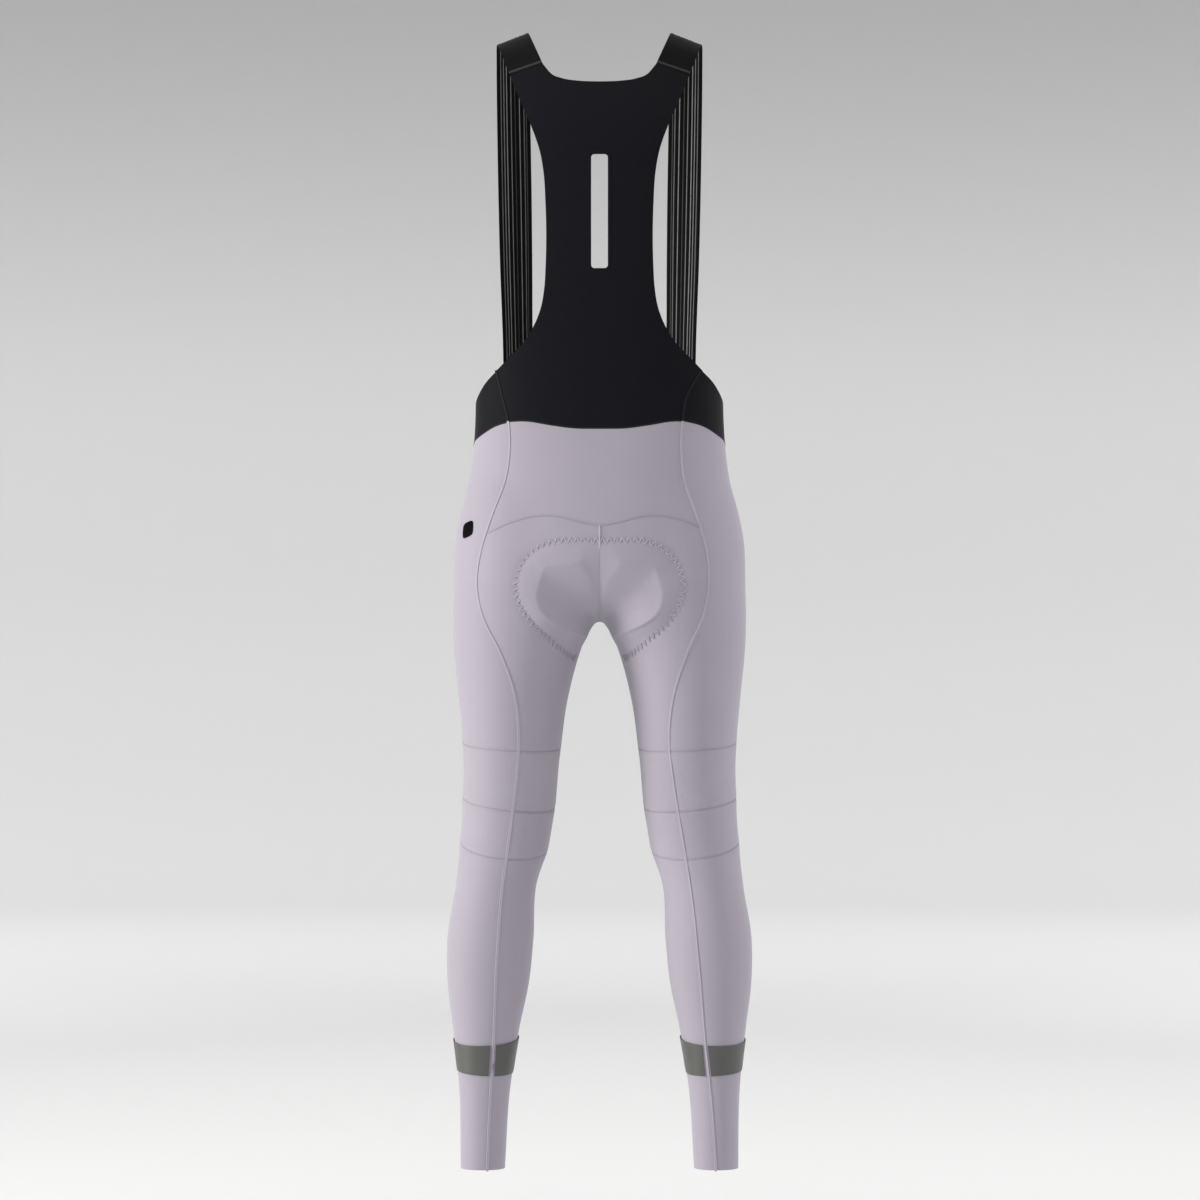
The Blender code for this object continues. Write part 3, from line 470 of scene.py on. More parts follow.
@dataclass
class Pattern:
    """Seam lines and panels of one side, as grids on the figure. The right side comes mirrored.

    A count is the number of cells at the solids' fineness; here each is cut `fine` times finer.
    """

    side: Side
    fine: int = 7
    columns_back: int = 10
    columns_to_strap: int = 8
    columns_on_strap: int = 2
    columns_to_middle: int = 6
    rows_lower_back: int = 4
    rows_seat_rise: int = 9
    rows_inseam: int = 6
    rows_front_rise: int = 13
    rows_knee: int = 5
    rows_calf: int = 8
    rows_band: int = 2
    rows_cuff: int = 3
    rows_neck: int = 5
    rows_slot: int = 4
    rows_flare: int = 4
    rows_bib_foot: int = 2
    rows_front_waist: int = 3
    columns_at_waist_seam: int = 2
    bib_level_end: float = 386.0
    bib_corner_rise: float = 4.0
    seam_samples: int = 400
    inseam_samples: int = 120
    inseam_start: float = 2.0
    rise_span: tuple[float, float] = (-30.0, 210.0)
    rise_samples: int = 1441
    front_turn: float = math.radians(150)
    seam_pull_power: int = 4
    lines: dict[str, Array] = field(default_factory=dict)

    def __post_init__(self) -> None:
        """Works out every seam of the side."""
        columns_to_strap = self.columns_to_strap * self.fine
        self.back_count = self.columns_back * self.fine
        self.front_count = columns_to_strap + (self.columns_on_strap + self.columns_to_middle) * self.fine
        lines = self.lines
        lines["yoke"] = self.on_seam(YOKE_SEAM, self.bib_columns(self.seam_x(YOKE_END_DROP)))
        seat_x = np.linspace(0, self.seam_x(SEAT_SEAM_END_DROP), self.back_count + 1)
        lines["seat"] = self.on_seam(SEAT_SEAM, seat_x)
        lines["front top"], lines["belt"] = self.front_waist_edges(lines["yoke"][-1])
        last = columns_to_strap + self.columns_on_strap * self.fine + 1
        lines["strap foot"] = lines["front top"][columns_to_strap:last]
        self.lay_leg_seams(lines)

    def lay_leg_seams(self, lines: dict[str, Array]) -> None:
        """Adds the side-back seam, the centre seam, the inseam and the knee's upper ring."""
        fine = self.fine
        knee = self.seam_point("knee top")
        seat_end = lines["seat"][-1]
        rows_seat = (self.rows_seat_rise + self.rows_inseam) * fine
        lines["side upper"] = self.side_back_line(YOKE_END_DROP, -seat_end[2], self.rows_lower_back * fine)
        lines["side lower"] = self.side_back_line(-seat_end[2], -knee[2], rows_seat)
        lines["knee top"] = self.leg_ring("knee top", knee)
        rise = FIGURE.on_rise(np.radians(np.linspace(*self.rise_span, self.rise_samples)))
        fork = int(np.argmin(rise[:, 2]))
        back_start = int(np.argmin(np.abs(rise[:fork, 2] - lines["seat"][0, 2])))
        front_end = fork + int(np.argmin(np.abs(rise[fork:, 2] - lines["belt"][-1, 2])))
        lines["back rise"] = FIGURE.even_points(rise[back_start : fork + 1], self.rows_seat_rise * fine)
        front = rise[fork : front_end + 1][::-1]
        lines["front rise"] = FIGURE.even_points(front, self.rows_front_rise * fine)
        inseam_end = lines["knee top"][self.front_count]
        drops = np.linspace(self.inseam_start - rise[fork, 2], -inseam_end[2], self.inseam_samples)
        inner_leg = FIGURE.on_leg(np.full(len(drops), math.pi), drops)
        inner_leg = np.concatenate([rise[fork : fork + 1], inner_leg])
        lines["inseam"] = FIGURE.even_points(inner_leg, self.rows_inseam * fine)
        for name, first, last in (
            ("side upper", lines["yoke"][-1], seat_end),
            ("side lower", seat_end, knee),
            ("back rise", lines["seat"][0], rise[fork]),
            ("front rise", lines["belt"][-1], rise[fork]),
            ("inseam", rise[fork], inseam_end),
        ):
            lines[name][0], lines[name][-1] = first, last
        lines["whole rise"] = rise

    def shares(self, count: int) -> Array:
        """Shares from 0 to 1 at the edges of a count of cells, each cut finer."""
        return np.linspace(0, 1, count * self.fine + 1)

    def placed(self, points: Array) -> Array:
        """Points of this side in the wearer's own frame."""
        return points if self.side is Side.LEFT else mirrored(points)

    def seam_x(self, drop: Array) -> Array:
        """Distance of the side-back seam from the middle at a drop."""
        distance, lean = read_table(SIDE_BACK_SEAM, np.asarray(drop, float))
        return distance + self.side.value * lean

    def bib_columns(self, edge: float) -> Array:
        """Distances of the bib's columns from the middle, past the slot's edge to its own edge."""
        slot = SLOT_HALF_WIDTH
        neck_share = (NECKLINE["strap"][0] - slot) / (STRAP_SEAM_OUTER[0] - slot)
        on_strap = self.columns_on_strap * self.fine
        below_neck = np.linspace(0, neck_share, self.back_count - on_strap - self.fine + 1)
        below_strap = np.linspace(neck_share, 1, on_strap + 1)[1:]
        shares = np.concatenate([below_neck, below_strap])
        return np.concatenate([np.linspace(0, slot, self.fine + 1)[:-1], slot + shares * (edge - slot)])

    def on_seam(self, table: Table, x: Array) -> Array:
        """Points of a seam across the back at distances from the middle."""
        return FIGURE.on_back(x, smooth_curve(*columns_of(table), x))

    def seam_point(self, ring: str) -> Array:
        """Where the side-back seam crosses a leg ring."""
        drop, _, front_rise = LEG_RINGS[ring]
        drops = np.array([drop + front_rise])
        return FIGURE.on_back(self.seam_x(drops), drops)[0]

    def side_back_line(self, top: float, bottom: float, count: int) -> Array:
        """Even points of the side-back seam between two drops."""
        drops = np.linspace(top, bottom, self.seam_samples)
        return FIGURE.even_points(FIGURE.on_back(self.seam_x(drops), drops), count)

    def leg_ring(self, name: str, start_point: Array) -> Array:
        """A ring round the leg, from the back seam by the outer side to the inseam and back."""
        drop, outer_rise, front_rise = LEG_RINGS[name]
        middle_x, middle_y, _, _ = FIGURE.leg_axis(np.array(drop))
        start = math.atan2(start_point[1] - middle_y, start_point[0] - middle_x)
        front_way = np.linspace(start, -math.pi, self.front_count + 1)
        back_way = np.linspace(math.pi, start, self.back_count + 1)
        angle = np.concatenate([front_way, back_way[1:]])
        drops = drop - outer_rise * np.cos(angle) + front_rise * np.sin(angle)
        ring = FIGURE.on_leg(angle, drops)
        ring[0] = start_point
        ring[-1] = start_point
        return ring

    def front_waist_edges(self, yoke_end: Array) -> tuple[Array, Array]:
        """Upper and lower edge of the front waist, from the side seam to the front's middle."""
        top_degrees, top_drop = columns_of(FRONT_TOP)
        edges = [FRONT_TOP["back corner"][0], FRONT_TOP["strap outer edge"][0]]
        edges += [FRONT_TOP["strap inner edge"][0], FRONT_TOP["middle"][0]]
        counts = (self.columns_to_strap, self.columns_on_strap, self.columns_to_middle)
        spans = [np.linspace(a, b, n * self.fine + 1)[1:] for a, b, n in zip(edges, edges[1:], counts)]
        degrees = np.concatenate([[edges[0]], *spans])
        top = FIGURE.on_waist(degrees, smooth_curve(-top_degrees, top_drop, -degrees))
        corner_drop, corner_x = BIB_EDGE["corner"]
        top[0] = FIGURE.on_back(np.array([corner_x]), np.array([corner_drop]))[0]
        belt_degrees, belt_drop = columns_of(BELT_LINE)
        start = math.degrees(math.atan2(yoke_end[1], yoke_end[0]))
        share = (degrees - degrees[0]) / (degrees[-1] - degrees[0])
        around = start + share * (belt_degrees[-1] - start)
        belt = FIGURE.on_waist(around, smooth_curve(-belt_degrees, belt_drop, -around))
        belt[0] = yoke_end
        for line in (top, belt):
            line[-1, 0] = 0
        return top, belt

    def waist_seam(self, share: Array) -> tuple[Array, Array]:
        """Distance from the middle and drop of points on the seam between bib and front waist."""
        share = np.asarray(share, float)
        x = self.seam_x(WAIST_CORNER_DROP + share * (YOKE_END_DROP - WAIST_CORNER_DROP))
        seam_end = smooth_curve(*columns_of(YOKE_SEAM), x)
        return x, WAIST_CORNER_DROP + share * (seam_end - WAIST_CORNER_DROP)

    def bib_rows(self) -> tuple[list[Array], list[Array], tuple[int, int]]:
        """Rows of the bib as distances and drops, and the rows between which the slot lies."""
        edge_drop, edge_x = columns_of(BIB_EDGE)
        neck_x, neck_drop = columns_of(NECKLINE)
        top_x = self.bib_columns(STRAP_SEAM_OUTER[0])
        past = (top_x - neck_x[-1]) / (STRAP_SEAM_OUTER[0] - neck_x[-1])
        strap_seam = neck_drop[-1] + past * (STRAP_SEAM_OUTER[1] - neck_drop[-1])
        top = np.where(top_x > neck_x[-1], strap_seam, smooth_curve(neck_x, neck_drop, top_x))
        x_rows, drop_rows = [], []
        for share in self.shares(self.rows_neck)[:-1]:
            drops = top + share * (SLOT_TOP - top)
            x_rows.append(self.bib_columns(smooth_curve(edge_drop, edge_x, drops[-1])))
            drop_rows.append(drops)
        first, slot_rows = len(x_rows), self.rows_slot * self.fine
        level = np.linspace(SLOT_TOP, SLOT_BOTTOM, slot_rows + 1)
        below = np.linspace(SLOT_BOTTOM, self.bib_level_end, self.rows_flare * self.fine + 1)[1:]
        for drop in np.concatenate([level, below]):
            x_rows.append(self.bib_columns(smooth_curve(edge_drop, edge_x, drop)))
            drop_rows.append(np.full(self.back_count + 1, drop))
        for share in self.shares(1)[1:]:
            edge = self.bib_level_end + share * (WAIST_CORNER_DROP - self.bib_level_end)
            x = self.bib_columns(smooth_curve(edge_drop, edge_x, edge))
            x_rows.append(x)
            drop_rows.append(edge - share * self.bib_corner_rise * (1 - (x / x[-1]) ** 2))
        corner = drop_rows[-1]
        for share in self.shares(self.rows_bib_foot)[1:]:
            x = self.bib_columns(self.waist_seam(share)[0])
            x_rows.append(x)
            drop_rows.append(corner + share * (smooth_curve(*columns_of(YOKE_SEAM), x) - corner))
        return x_rows, drop_rows, (first, first + slot_rows)

    def bib_half(self) -> Array:
        """Half grid of the bib back, from the neckline and strap down to the yoke seam."""
        x_rows, drop_rows, _ = self.bib_rows()
        return FIGURE.on_back(np.array(x_rows), np.array(drop_rows))

    def lower_back_half(self) -> Array:
        """Half grid of the panel between the yoke seam and the seat seam."""
        lines = self.lines
        share = self.shares(self.rows_lower_back)[:, None, None]
        blend = (1 - share) * lines["yoke"][None] + share * lines["seat"][None]
        bend = (lines["side upper"] - blend[:, -1])[:, None]
        guide = blend + bend * np.linspace(0, 1, self.back_count + 1)[None, :, None]
        half = FIGURE.on_back(guide[..., 0], -guide[..., 2])
        half[0], half[-1], half[:, -1] = lines["yoke"], lines["seat"], lines["side upper"]
        return half

    def front_waist_half(self) -> Array:
        """Half grid of the black waist, from the side seam to the middle of the front."""
        top, belt = self.lines["front top"], self.lines["belt"]
        share = self.shares(self.rows_front_waist)
        v = share[:, None, None]
        blend = (1 - v) * top[None] + v * belt[None]
        seam = FIGURE.on_back(*self.waist_seam(share))
        reach = self.columns_at_waist_seam * self.fine
        near = np.clip(1 - np.arange(len(top)) / reach, 0, 1) ** 2
        blend += (seam - blend[:, 0])[:, None] * near[None, :, None]
        half = FIGURE.settle(blend)
        half[0], half[-1] = top, belt
        return half

    def fill_between(self, top: Array, bottom: Array, start: Array, end: Array, front: bool) -> Array:
        """A grid on the leg and hip between four seams.

        Each point is the blend of the two rows plus the blend of the two columns less that of
        the four corners, worked out in angle and drop.
        """
        sides = []
        for line in (top, bottom, start, end):
            angle, drop = FIGURE.flat_to_leg(line)
            if front:
                angle = np.where(angle > self.front_turn, angle - 2 * math.pi, angle)
            else:
                angle = np.where(angle < 0, angle + 2 * math.pi, angle)
            sides.append(np.stack([angle, drop], axis=-1))
        top_flat, bottom_flat, start_flat, end_flat = sides
        u = np.linspace(0, 1, len(top))[None, :, None]
        v = np.linspace(0, 1, len(start))[:, None, None]
        rows = (1 - v) * top_flat[None] + v * bottom_flat[None]
        columns = (1 - u) * start_flat[:, None] + u * end_flat[:, None]
        corners = (1 - u) * (1 - v) * top_flat[0] + u * (1 - v) * top_flat[-1]
        corners = corners + (1 - u) * v * bottom_flat[0] + u * v * bottom_flat[-1]
        flat = rows + columns - corners
        grid = FIGURE.on_leg(flat[..., 0], flat[..., 1])
        grid[0], grid[-1], grid[:, 0], grid[:, -1] = top, bottom, start, end
        return grid

    def seat(self) -> Array:
        """Grid of the seat and back of the thigh."""
        lines = self.lines
        end = np.concatenate([lines["back rise"], lines["inseam"][1:]])
        bottom = lines["knee top"][self.front_count :][::-1]
        return self.fill_between(lines["seat"][::-1], bottom, lines["side lower"], end, front=False)

    def thigh(self) -> Array:
        """Grid of the hip side, front and inner front of the thigh."""
        lines = self.lines
        start = np.concatenate([lines["side upper"], lines["side lower"][1:]])
        end = np.concatenate([lines["front rise"], lines["inseam"][1:]])
        bottom = lines["knee top"][: self.front_count + 1]
        return self.fill_between(lines["belt"], bottom, start, end, front=True)

    def ring(self, name: str) -> Array:
        """The leg ring of a name."""
        return self.leg_ring(name, self.seam_point(name))

    def tube(self, top_name: str, bottom_name: str, rows: int) -> Array:
        """A grid between two rings, with its first and last column on the side-back seam."""
        top, bottom = self.ring(top_name), self.ring(bottom_name)
        ends = []
        for line in (top, bottom):
            angle, drop = FIGURE.flat_to_leg(line)
            ends.append(np.stack([np.unwrap(angle), drop], axis=-1))
        v = self.shares(rows)[:, None, None]
        flat = (1 - v) * ends[0][None] + v * ends[1][None]
        drops = flat[:, 0, 1]
        seam = FIGURE.on_back(self.seam_x(drops), drops)
        shift = (FIGURE.flat_to_leg(seam)[0] - flat[:, 0, 0])[:, None]
        pull = np.abs(np.linspace(-1, 1, flat.shape[1])) ** self.seam_pull_power
        flat[..., 0] += shift * pull[None, :]
        grid = FIGURE.on_leg(flat[..., 0], flat[..., 1])
        grid[0], grid[-1] = top, bottom
        grid[1:-1, 0] = seam[1:-1]
        grid[1:-1, -1] = seam[1:-1]
        return grid


def math_node(operation: str, turned: bool = False) -> Callable[..., "Signal"]:
    """A method that adds a Math node.

    Args:
        operation: the node's operation.
        turned: whether the signal comes after the other value.

    Returns:
        The method, from a signal and any other value to the node's signal.
    """
    def method(self: "Signal", *others: "Signal | float") -> "Signal":
        """Adds the node."""
        values = (*others, self) if turned else (self, *others)
        node = self.recipe.node("ShaderNodeMath", {"operation": operation}, dict(enumerate(values)))
        return Signal(self.recipe, node.outputs[0])

    return method


class Signal:
    """A node socket that carries a number; Python's operators on it add Math nodes."""

    __add__ = math_node("ADD")
    __sub__ = math_node("SUBTRACT")
    __rsub__ = math_node("SUBTRACT", turned=True)
    __mul__ = math_node("MULTIPLY")
    __truediv__ = math_node("DIVIDE")
    __pow__ = math_node("POWER")
    __abs__ = math_node("ABSOLUTE")
    sine = math_node("SINE")
    greatest = math_node("MAXIMUM")
    least = math_node("MINIMUM")

    def __init__(self, recipe: "Recipe", socket: Socket) -> None:
        """Keeps the socket and the recipe that its nodes belong to."""
        self.recipe = recipe
        self.socket = socket

    def turns(self, pitch: float) -> "Signal":
        """An angle that grows by a whole turn in each pitch."""
        return self * (2 * math.pi / pitch)

    def swing(self) -> "Signal":
        """The sine of this, moved to run from 0 to 1."""
        return self.sine() * 0.5 + 0.5

    def between(self, low: float, high: float) -> "Signal":
        """0 at low and 1 at high, straight between and held outside."""
        return ((self - low) / (high - low)).greatest(0.0).least(1.0)


class Recipe:
    """One material's nodes, with its Principled shader and cloth coordinates in millimetres."""

    def __init__(self, name: str) -> None:
        """Makes the material with its plain shader."""
        self.material = bpy.data.materials.new(name)
        self.material.use_nodes = True
        self.tree = self.material.node_tree
        self.shader = self.tree.nodes["Principled BSDF"]

    def node(self, kind: str, settings: dict[str, object],
             sockets: dict[object, object]) -> bpy.types.Node:
        """Adds a node.

        Args:
            kind: the node's type.
            settings: its own settings, set before its sockets.
            sockets: values, signals or sockets by the input's name or number.

        Returns:
            The node.
        """
        node = self.tree.nodes.new(kind)
        for key, value in settings.items():
            setattr(node, key, value)
        for key, value in sockets.items():
            self.feed(node.inputs[key], value)
        return node

    def feed(self, target: Socket, value: object) -> None:
        """Links a signal or socket to an input, or sets the input's own value."""
        if isinstance(value, Signal):
            value = value.socket
        if isinstance(value, Socket):
            self.tree.links.new(value, target)
        else:
            target.default_value = value

    def set(self, **values: object) -> None:
        """Feeds the shader's inputs, whose names are written with underscores for spaces."""
        for key, value in values.items():
            self.feed(self.shader.inputs[key.replace("_", " ")], value)

    def cloth(self) -> tuple[Signal, Signal]:
        """Distances across and along the cloth, in millimetres."""
        place = self.node("ShaderNodeUVMap", {"uv_map": "cloth"}, {})
        parts = self.node("ShaderNodeSeparateXYZ", {}, {0: place.outputs[0]})
        return Signal(self, parts.outputs[0]), Signal(self, parts.outputs[1])

    def ramp(self, share: Signal, stops: Sequence[tuple[float, float]], bend: str = "LINEAR") -> Signal:
        """A grey ramp over a share, with stops of place and lightness."""
        node = self.node("ShaderNodeValToRGB", {}, {0: share})
        node.color_ramp.interpolation = bend
        elements = node.color_ramp.elements
        while len(elements) < len(stops):
            elements.new(0.5)
        for element, (place, light) in zip(elements, sorted(stops)):
            element.position = place
            element.color = (light, light, light, 1.0)
        return Signal(self, node.outputs[0])

    def patches(self, scale: float, detail: float = 2.0) -> Signal:
        """Cloudy values about one half, with a scale in patches for each metre."""
        place = self.node("ShaderNodeTexCoord", {}, {})
        sockets = {"Vector": place.outputs["Object"], "Scale": scale, "Detail": detail}
        noise = self.node("ShaderNodeTexNoise", {}, sockets)
        return Signal(self, noise.outputs[0])

    def tinted(self, dark: object, light: object, share: Signal) -> Socket:
        """A colour between two, by a share; each is a tuple or a colour socket."""
        ends = [end if isinstance(end, Socket) else (*end, 1.0) for end in (dark, light)]
        mixed = self.node("ShaderNodeMix", {"data_type": "RGBA"}, {0: share, 6: ends[0], 7: ends[1]})
        return mixed.outputs[2]

    def raise_by(self, height: Signal, depth_mm: float, strength: float) -> None:
        """Bumps the shader's normal by a height from 0 to 1 that stands for a depth."""
        sockets = {"Height": height, "Distance": depth_mm * MM, "Strength": strength}
        bump = self.node("ShaderNodeBump", {}, sockets)
        self.set(Normal=bump.outputs[0])


def cells(one: Signal, other: Signal, pitch: float) -> Signal:
    """Domes from 0 to 1 that stand a pitch apart along both signals."""
    return abs(one.turns(2 * pitch).sine() * other.turns(2 * pitch).sine())


def shades(colour: Sequence[float], less: float, more: float) -> tuple[tuple, tuple]:
    """A darker and a lighter shade of a colour."""
    return tuple(c * less for c in colour), tuple(c * more for c in colour)


@dataclass(frozen=True)
class Knit:
    """Fine stretch knit: upright wales of small stitches, with faint streaks and soft nap."""

    name: str
    colour: Triple
    roughness: float = 0.72
    sheen: float = 0.3
    sheen_roughness: float = 0.45
    sheen_tint: Triple = (0.9, 0.88, 0.95)
    specular: float = 0.3
    wale: float = 1.0
    course: float = 0.8
    depth: float = 0.09
    strength: float = 0.35
    bend: float = 2.2
    streak: float = 9.0
    streaks: float = 0.05
    wander: float = 6.0
    contrast: float = 0.03
    cloud_scale: float = 38.0
    roughness_change: float = 0.08
    wale_share: float = 0.6

    def make(self) -> Material:
        """The material: waves across, mixed with waves along the cloth that those across bend."""
        recipe = Recipe(self.name)
        across, along = recipe.cloth()
        wave = abs(across.turns(2 * self.wale).sine())
        stitch = (along.turns(self.course) + wave * self.bend).swing()
        streaks = (across.turns(self.streak) + recipe.patches(9.0) * self.wander).sine()
        share = recipe.patches(self.cloud_scale, 3.0) * 0.8 + streaks * self.streaks + 0.1
        dark, light = shades(self.colour, 1 - self.contrast, 1 + self.contrast)
        recipe.set(Base_Color=recipe.tinted(dark, light, share))
        least = self.roughness - self.roughness_change / 2
        recipe.set(Roughness=recipe.patches(60.0) * self.roughness_change + least)
        recipe.set(Sheen_Weight=self.sheen, Sheen_Roughness=self.sheen_roughness)
        recipe.set(Sheen_Tint=(*self.sheen_tint, 1.0), Specular_IOR_Level=self.specular)
        height = wave * self.wale_share + stitch * (1 - self.wale_share)
        recipe.raise_by(height, self.depth, self.strength)
        return recipe.material


@dataclass(frozen=True)
class Waffle:
    """Knit with small sunk diamonds in diagonal rows."""

    name: str
    colour: Triple
    pitch: float = 3.4
    depth: float = 0.5
    strength: float = 0.9
    contrast: float = 0.14
    sharpness: float = 0.6
    thread: float = 0.8
    roughness: float = 0.78

    def make(self) -> Material:
        """The material: a cell's height is the product of the sines along both diagonals, and the colour is
        darker where the cell is lower, a painted shade in the sunk diamonds.
        """
        recipe = Recipe(self.name)
        across, along = recipe.cloth()
        pile = cells(across + along, across - along, self.pitch) ** self.sharpness
        grain = along.turns(self.thread).swing()
        # Lower parts of the cells are painted darker: painted shade in the hollows.
        dark, light = shades(self.colour, 1 - self.contrast, 1 + self.contrast * 0.5)
        recipe.set(Base_Color=recipe.tinted(dark, light, pile * 0.8 + recipe.patches(40.0) * 0.2))
        recipe.set(Roughness=self.roughness - pile * 0.08)
        recipe.set(Sheen_Weight=0.3, Sheen_Roughness=0.5, Specular_IOR_Level=0.3)
        recipe.raise_by(pile * 0.85 + grain * 0.15, self.depth, self.strength)
        return recipe.material


@dataclass(frozen=True)
class RibbedElastic:
    """Black elastic whose grooves carry a lighter yarn, under fine cross threads."""

    name: str
    colour: Triple
    plain: Triple
    yarn: Triple
    grooves: tuple[tuple[float, float], ...]
    width: float
    starts: float
    groove_half: float = 0.8
    thread: float = 0.9
    pip: float = 0.7
    fade: float = 14.0

    def make(self) -> Material:
        """The material: a ramp across the width holds one light band for each groove."""
        recipe = Recipe(self.name)
        across, along = recipe.cloth()
        stops = [(0.0, 0.0), (1.0, 0.0)]
        for place, light in self.grooves:
            for offset, value in ((-self.groove_half, 0.0), (0.0, light), (self.groove_half, 0.0)):
                stops.append(((place + offset) / self.width, value))
        lines = recipe.ramp(across / self.width, stops)
        worn = recipe.patches(70.0) * 0.5 + 0.7
        started = along.between(self.starts, self.starts + self.fade)
        band = lines * started * worn
        pips = along.turns(self.thread).swing() * across.turns(2 * self.pip).swing()
        base = recipe.tinted(self.colour, self.plain, pips * (1 - started))
        recipe.set(Base_Color=recipe.tinted(base, self.yarn, band), Roughness=0.62 - band * 0.15)
        recipe.set(Sheen_Weight=0.01, Sheen_Roughness=0.4, Specular_IOR_Level=0.08)
        recipe.raise_by(pips, 0.12, 0.6)
        return recipe.material


@dataclass(frozen=True)
class ReflectiveFilm:
    """Grey film of glass beads: fine dots over a soft sheen, with faint scuffs."""

    name: str
    colour: Triple
    dot: float = 0.9

    def make(self) -> Material:
        """The material: dots are domes in rows, scuffs are noise."""
        recipe = Recipe(self.name)
        across, along = recipe.cloth()
        dots = cells(across, along, self.dot)
        scuff = recipe.patches(55.0, 5.0)
        dark, light = shades(self.colour, 0.9, 1.12)
        recipe.set(Base_Color=recipe.tinted(dark, light, dots * 0.35 + scuff * 0.6))
        recipe.set(Roughness=scuff * 0.2 + 0.36, Metallic=0.25)
        recipe.set(Coat_Weight=0.08, Specular_IOR_Level=0.5)
        recipe.raise_by(dots, 0.06, 0.4)
        return recipe.material


@dataclass(frozen=True)
class Yarn:
    """Sewing thread: twisted strands over a plain colour."""

    name: str
    colour: Triple
    roughness: float = 0.6
    twist: float = 0.9
    specular: float = 0.3
    sheen: float = 0.25

    def make(self) -> Material:
        """The material: the twist is a sine on the sum of both distances, and the colour is darker where the
        strands are lower, a painted shade between them.
        """
        recipe = Recipe(self.name)
        across, along = recipe.cloth()
        strands = (across * 2.0 + along).turns(self.twist).swing()
        # The grooves between the strands are painted darker: painted shade.
        dark, light = shades(self.colour, 0.86, 1.1)
        recipe.set(Base_Color=recipe.tinted(dark, light, strands), Roughness=self.roughness)
        recipe.set(Sheen_Weight=self.sheen, Specular_IOR_Level=self.specular)
        recipe.raise_by(strands, 0.08, 0.5)
        return recipe.material


@dataclass(frozen=True)
class BrushedFoam:
    """Brushed cover of the seat pad, with small air holes in rows."""

    name: str
    colour: Triple
    hole: float = 5.0
    hole_rim: tuple[float, float] = (0.82, 0.95)

    def make(self) -> Material:
        """The material: holes are where domes in rows come near one, and they are painted dark, a painted
        shade in the holes.
        """
        recipe = Recipe(self.name)
        across, along = recipe.cloth()
        holes = cells(across, along, self.hole).between(*self.hole_rim)
        nap = recipe.patches(900.0, 3.0)
        dark, light = shades(self.colour, 0.6, 1.35)
        # The holes are painted dark: painted shade inside them.
        recipe.set(Base_Color=recipe.tinted(dark, light, nap * (1 - holes)), Roughness=0.92)
        recipe.set(Sheen_Weight=0.5, Sheen_Roughness=0.5, Specular_IOR_Level=0.2)
        recipe.raise_by(nap * 0.4 + (1 - holes) * 0.6, 0.6, 0.6)
        return recipe.material


@dataclass(frozen=True)
class RubberLabel:
    """Moulded label: smooth black with a faint grain."""

    name: str
    colour: Triple

    def make(self) -> Material:
        """The material: a fine even grain in colour, gloss and relief."""
        recipe = Recipe(self.name)
        grain = recipe.patches(1500.0, 2.0)
        dark, light = shades(self.colour, 0.8, 1.3)
        recipe.set(Base_Color=recipe.tinted(dark, light, grain), Roughness=grain * 0.12 + 0.5)
        recipe.set(Specular_IOR_Level=0.03)
        recipe.raise_by(grain, 0.05, 0.35)
        return recipe.material


@dataclass(frozen=True)
class Paper:
    """Studio paper, pale on the floor and greyer up the wall; the greying up the wall is painted shade, on
    top of the lamps' own fall-off.

    A stop is a distance in metres along the paper from its middle, and its lightness there.
    """

    name: str
    stops: tuple[tuple[float, float], ...]
    reach: float

    def make(self) -> Material:
        """The material: a ramp over the distance from the middle."""
        recipe = Recipe(self.name)
        _, along = recipe.cloth()
        stops = tuple((at / self.reach, light) for at, light in self.stops)
        ramp = recipe.ramp(along / self.reach, stops, "CARDINAL")
        recipe.set(Base_Color=ramp.socket)
        recipe.set(Roughness=recipe.patches(3.0) * 0.1 + 0.85, Specular_IOR_Level=0.1)
        return recipe.material


def wall_faces(used: Array) -> Array:
    """Quads of a wall: its outer cells, the inner ones turned round, and rims at every edge.

    Args:
        used: which cells of the grid there are.

    Returns:
        Corner numbers, the inner grid's counted on from the outer one's.
    """
    rows, columns = used.shape[0] + 1, used.shape[1] + 1
    index = np.arange(rows * columns).reshape(rows, columns)
    a, b, c, d = index[:-1, :-1], index[:-1, 1:], index[1:, 1:], index[1:, :-1]
    count = rows * columns
    front = np.stack([a, b, c, d], axis=-1)[used]
    faces = [front, front[:, ::-1] + count]
    padded = np.pad(used, 1)
    for down, right, start, end in ((-1, 0, a, b), (0, 1, b, c), (1, 0, c, d), (0, -1, d, a)):
        beside = padded[1 + down : rows + down, 1 + right : columns + right]
        edge = used & ~beside
        s, e = start[edge], end[edge]
        faces.append(np.stack([e, s, s + count, e + count], axis=-1))
    return np.concatenate(faces)


def wall(outer: Array, inner: Array, uv: Array, used: Optional[Array] = None) -> tuple[Array, Array, Array]:
    """A wall between two grids of places.

    Args:
        outer: the grid that shows.
        inner: the grid behind it.
        uv: cloth distances of the grid.
        used: which cells there are, or none for all.

    Returns:
        Points, quads that face outwards and the points' cloth distances.
    """
    if used is None:
        used = np.ones((outer.shape[0] - 1, outer.shape[1] - 1), bool)
    faces = wall_faces(used)
    turned = np.cross(outer[1, 1] - outer[1, 0], outer[1, 0] - outer[0, 0]) @ (outer[0, 0] - inner[0, 0])
    if turned < 0:
        faces = faces[:, ::-1]
    points = np.concatenate([outer.reshape(-1, 3), inner.reshape(-1, 3)])
    return points, faces, np.concatenate([uv.reshape(-1, 2)] * 2)


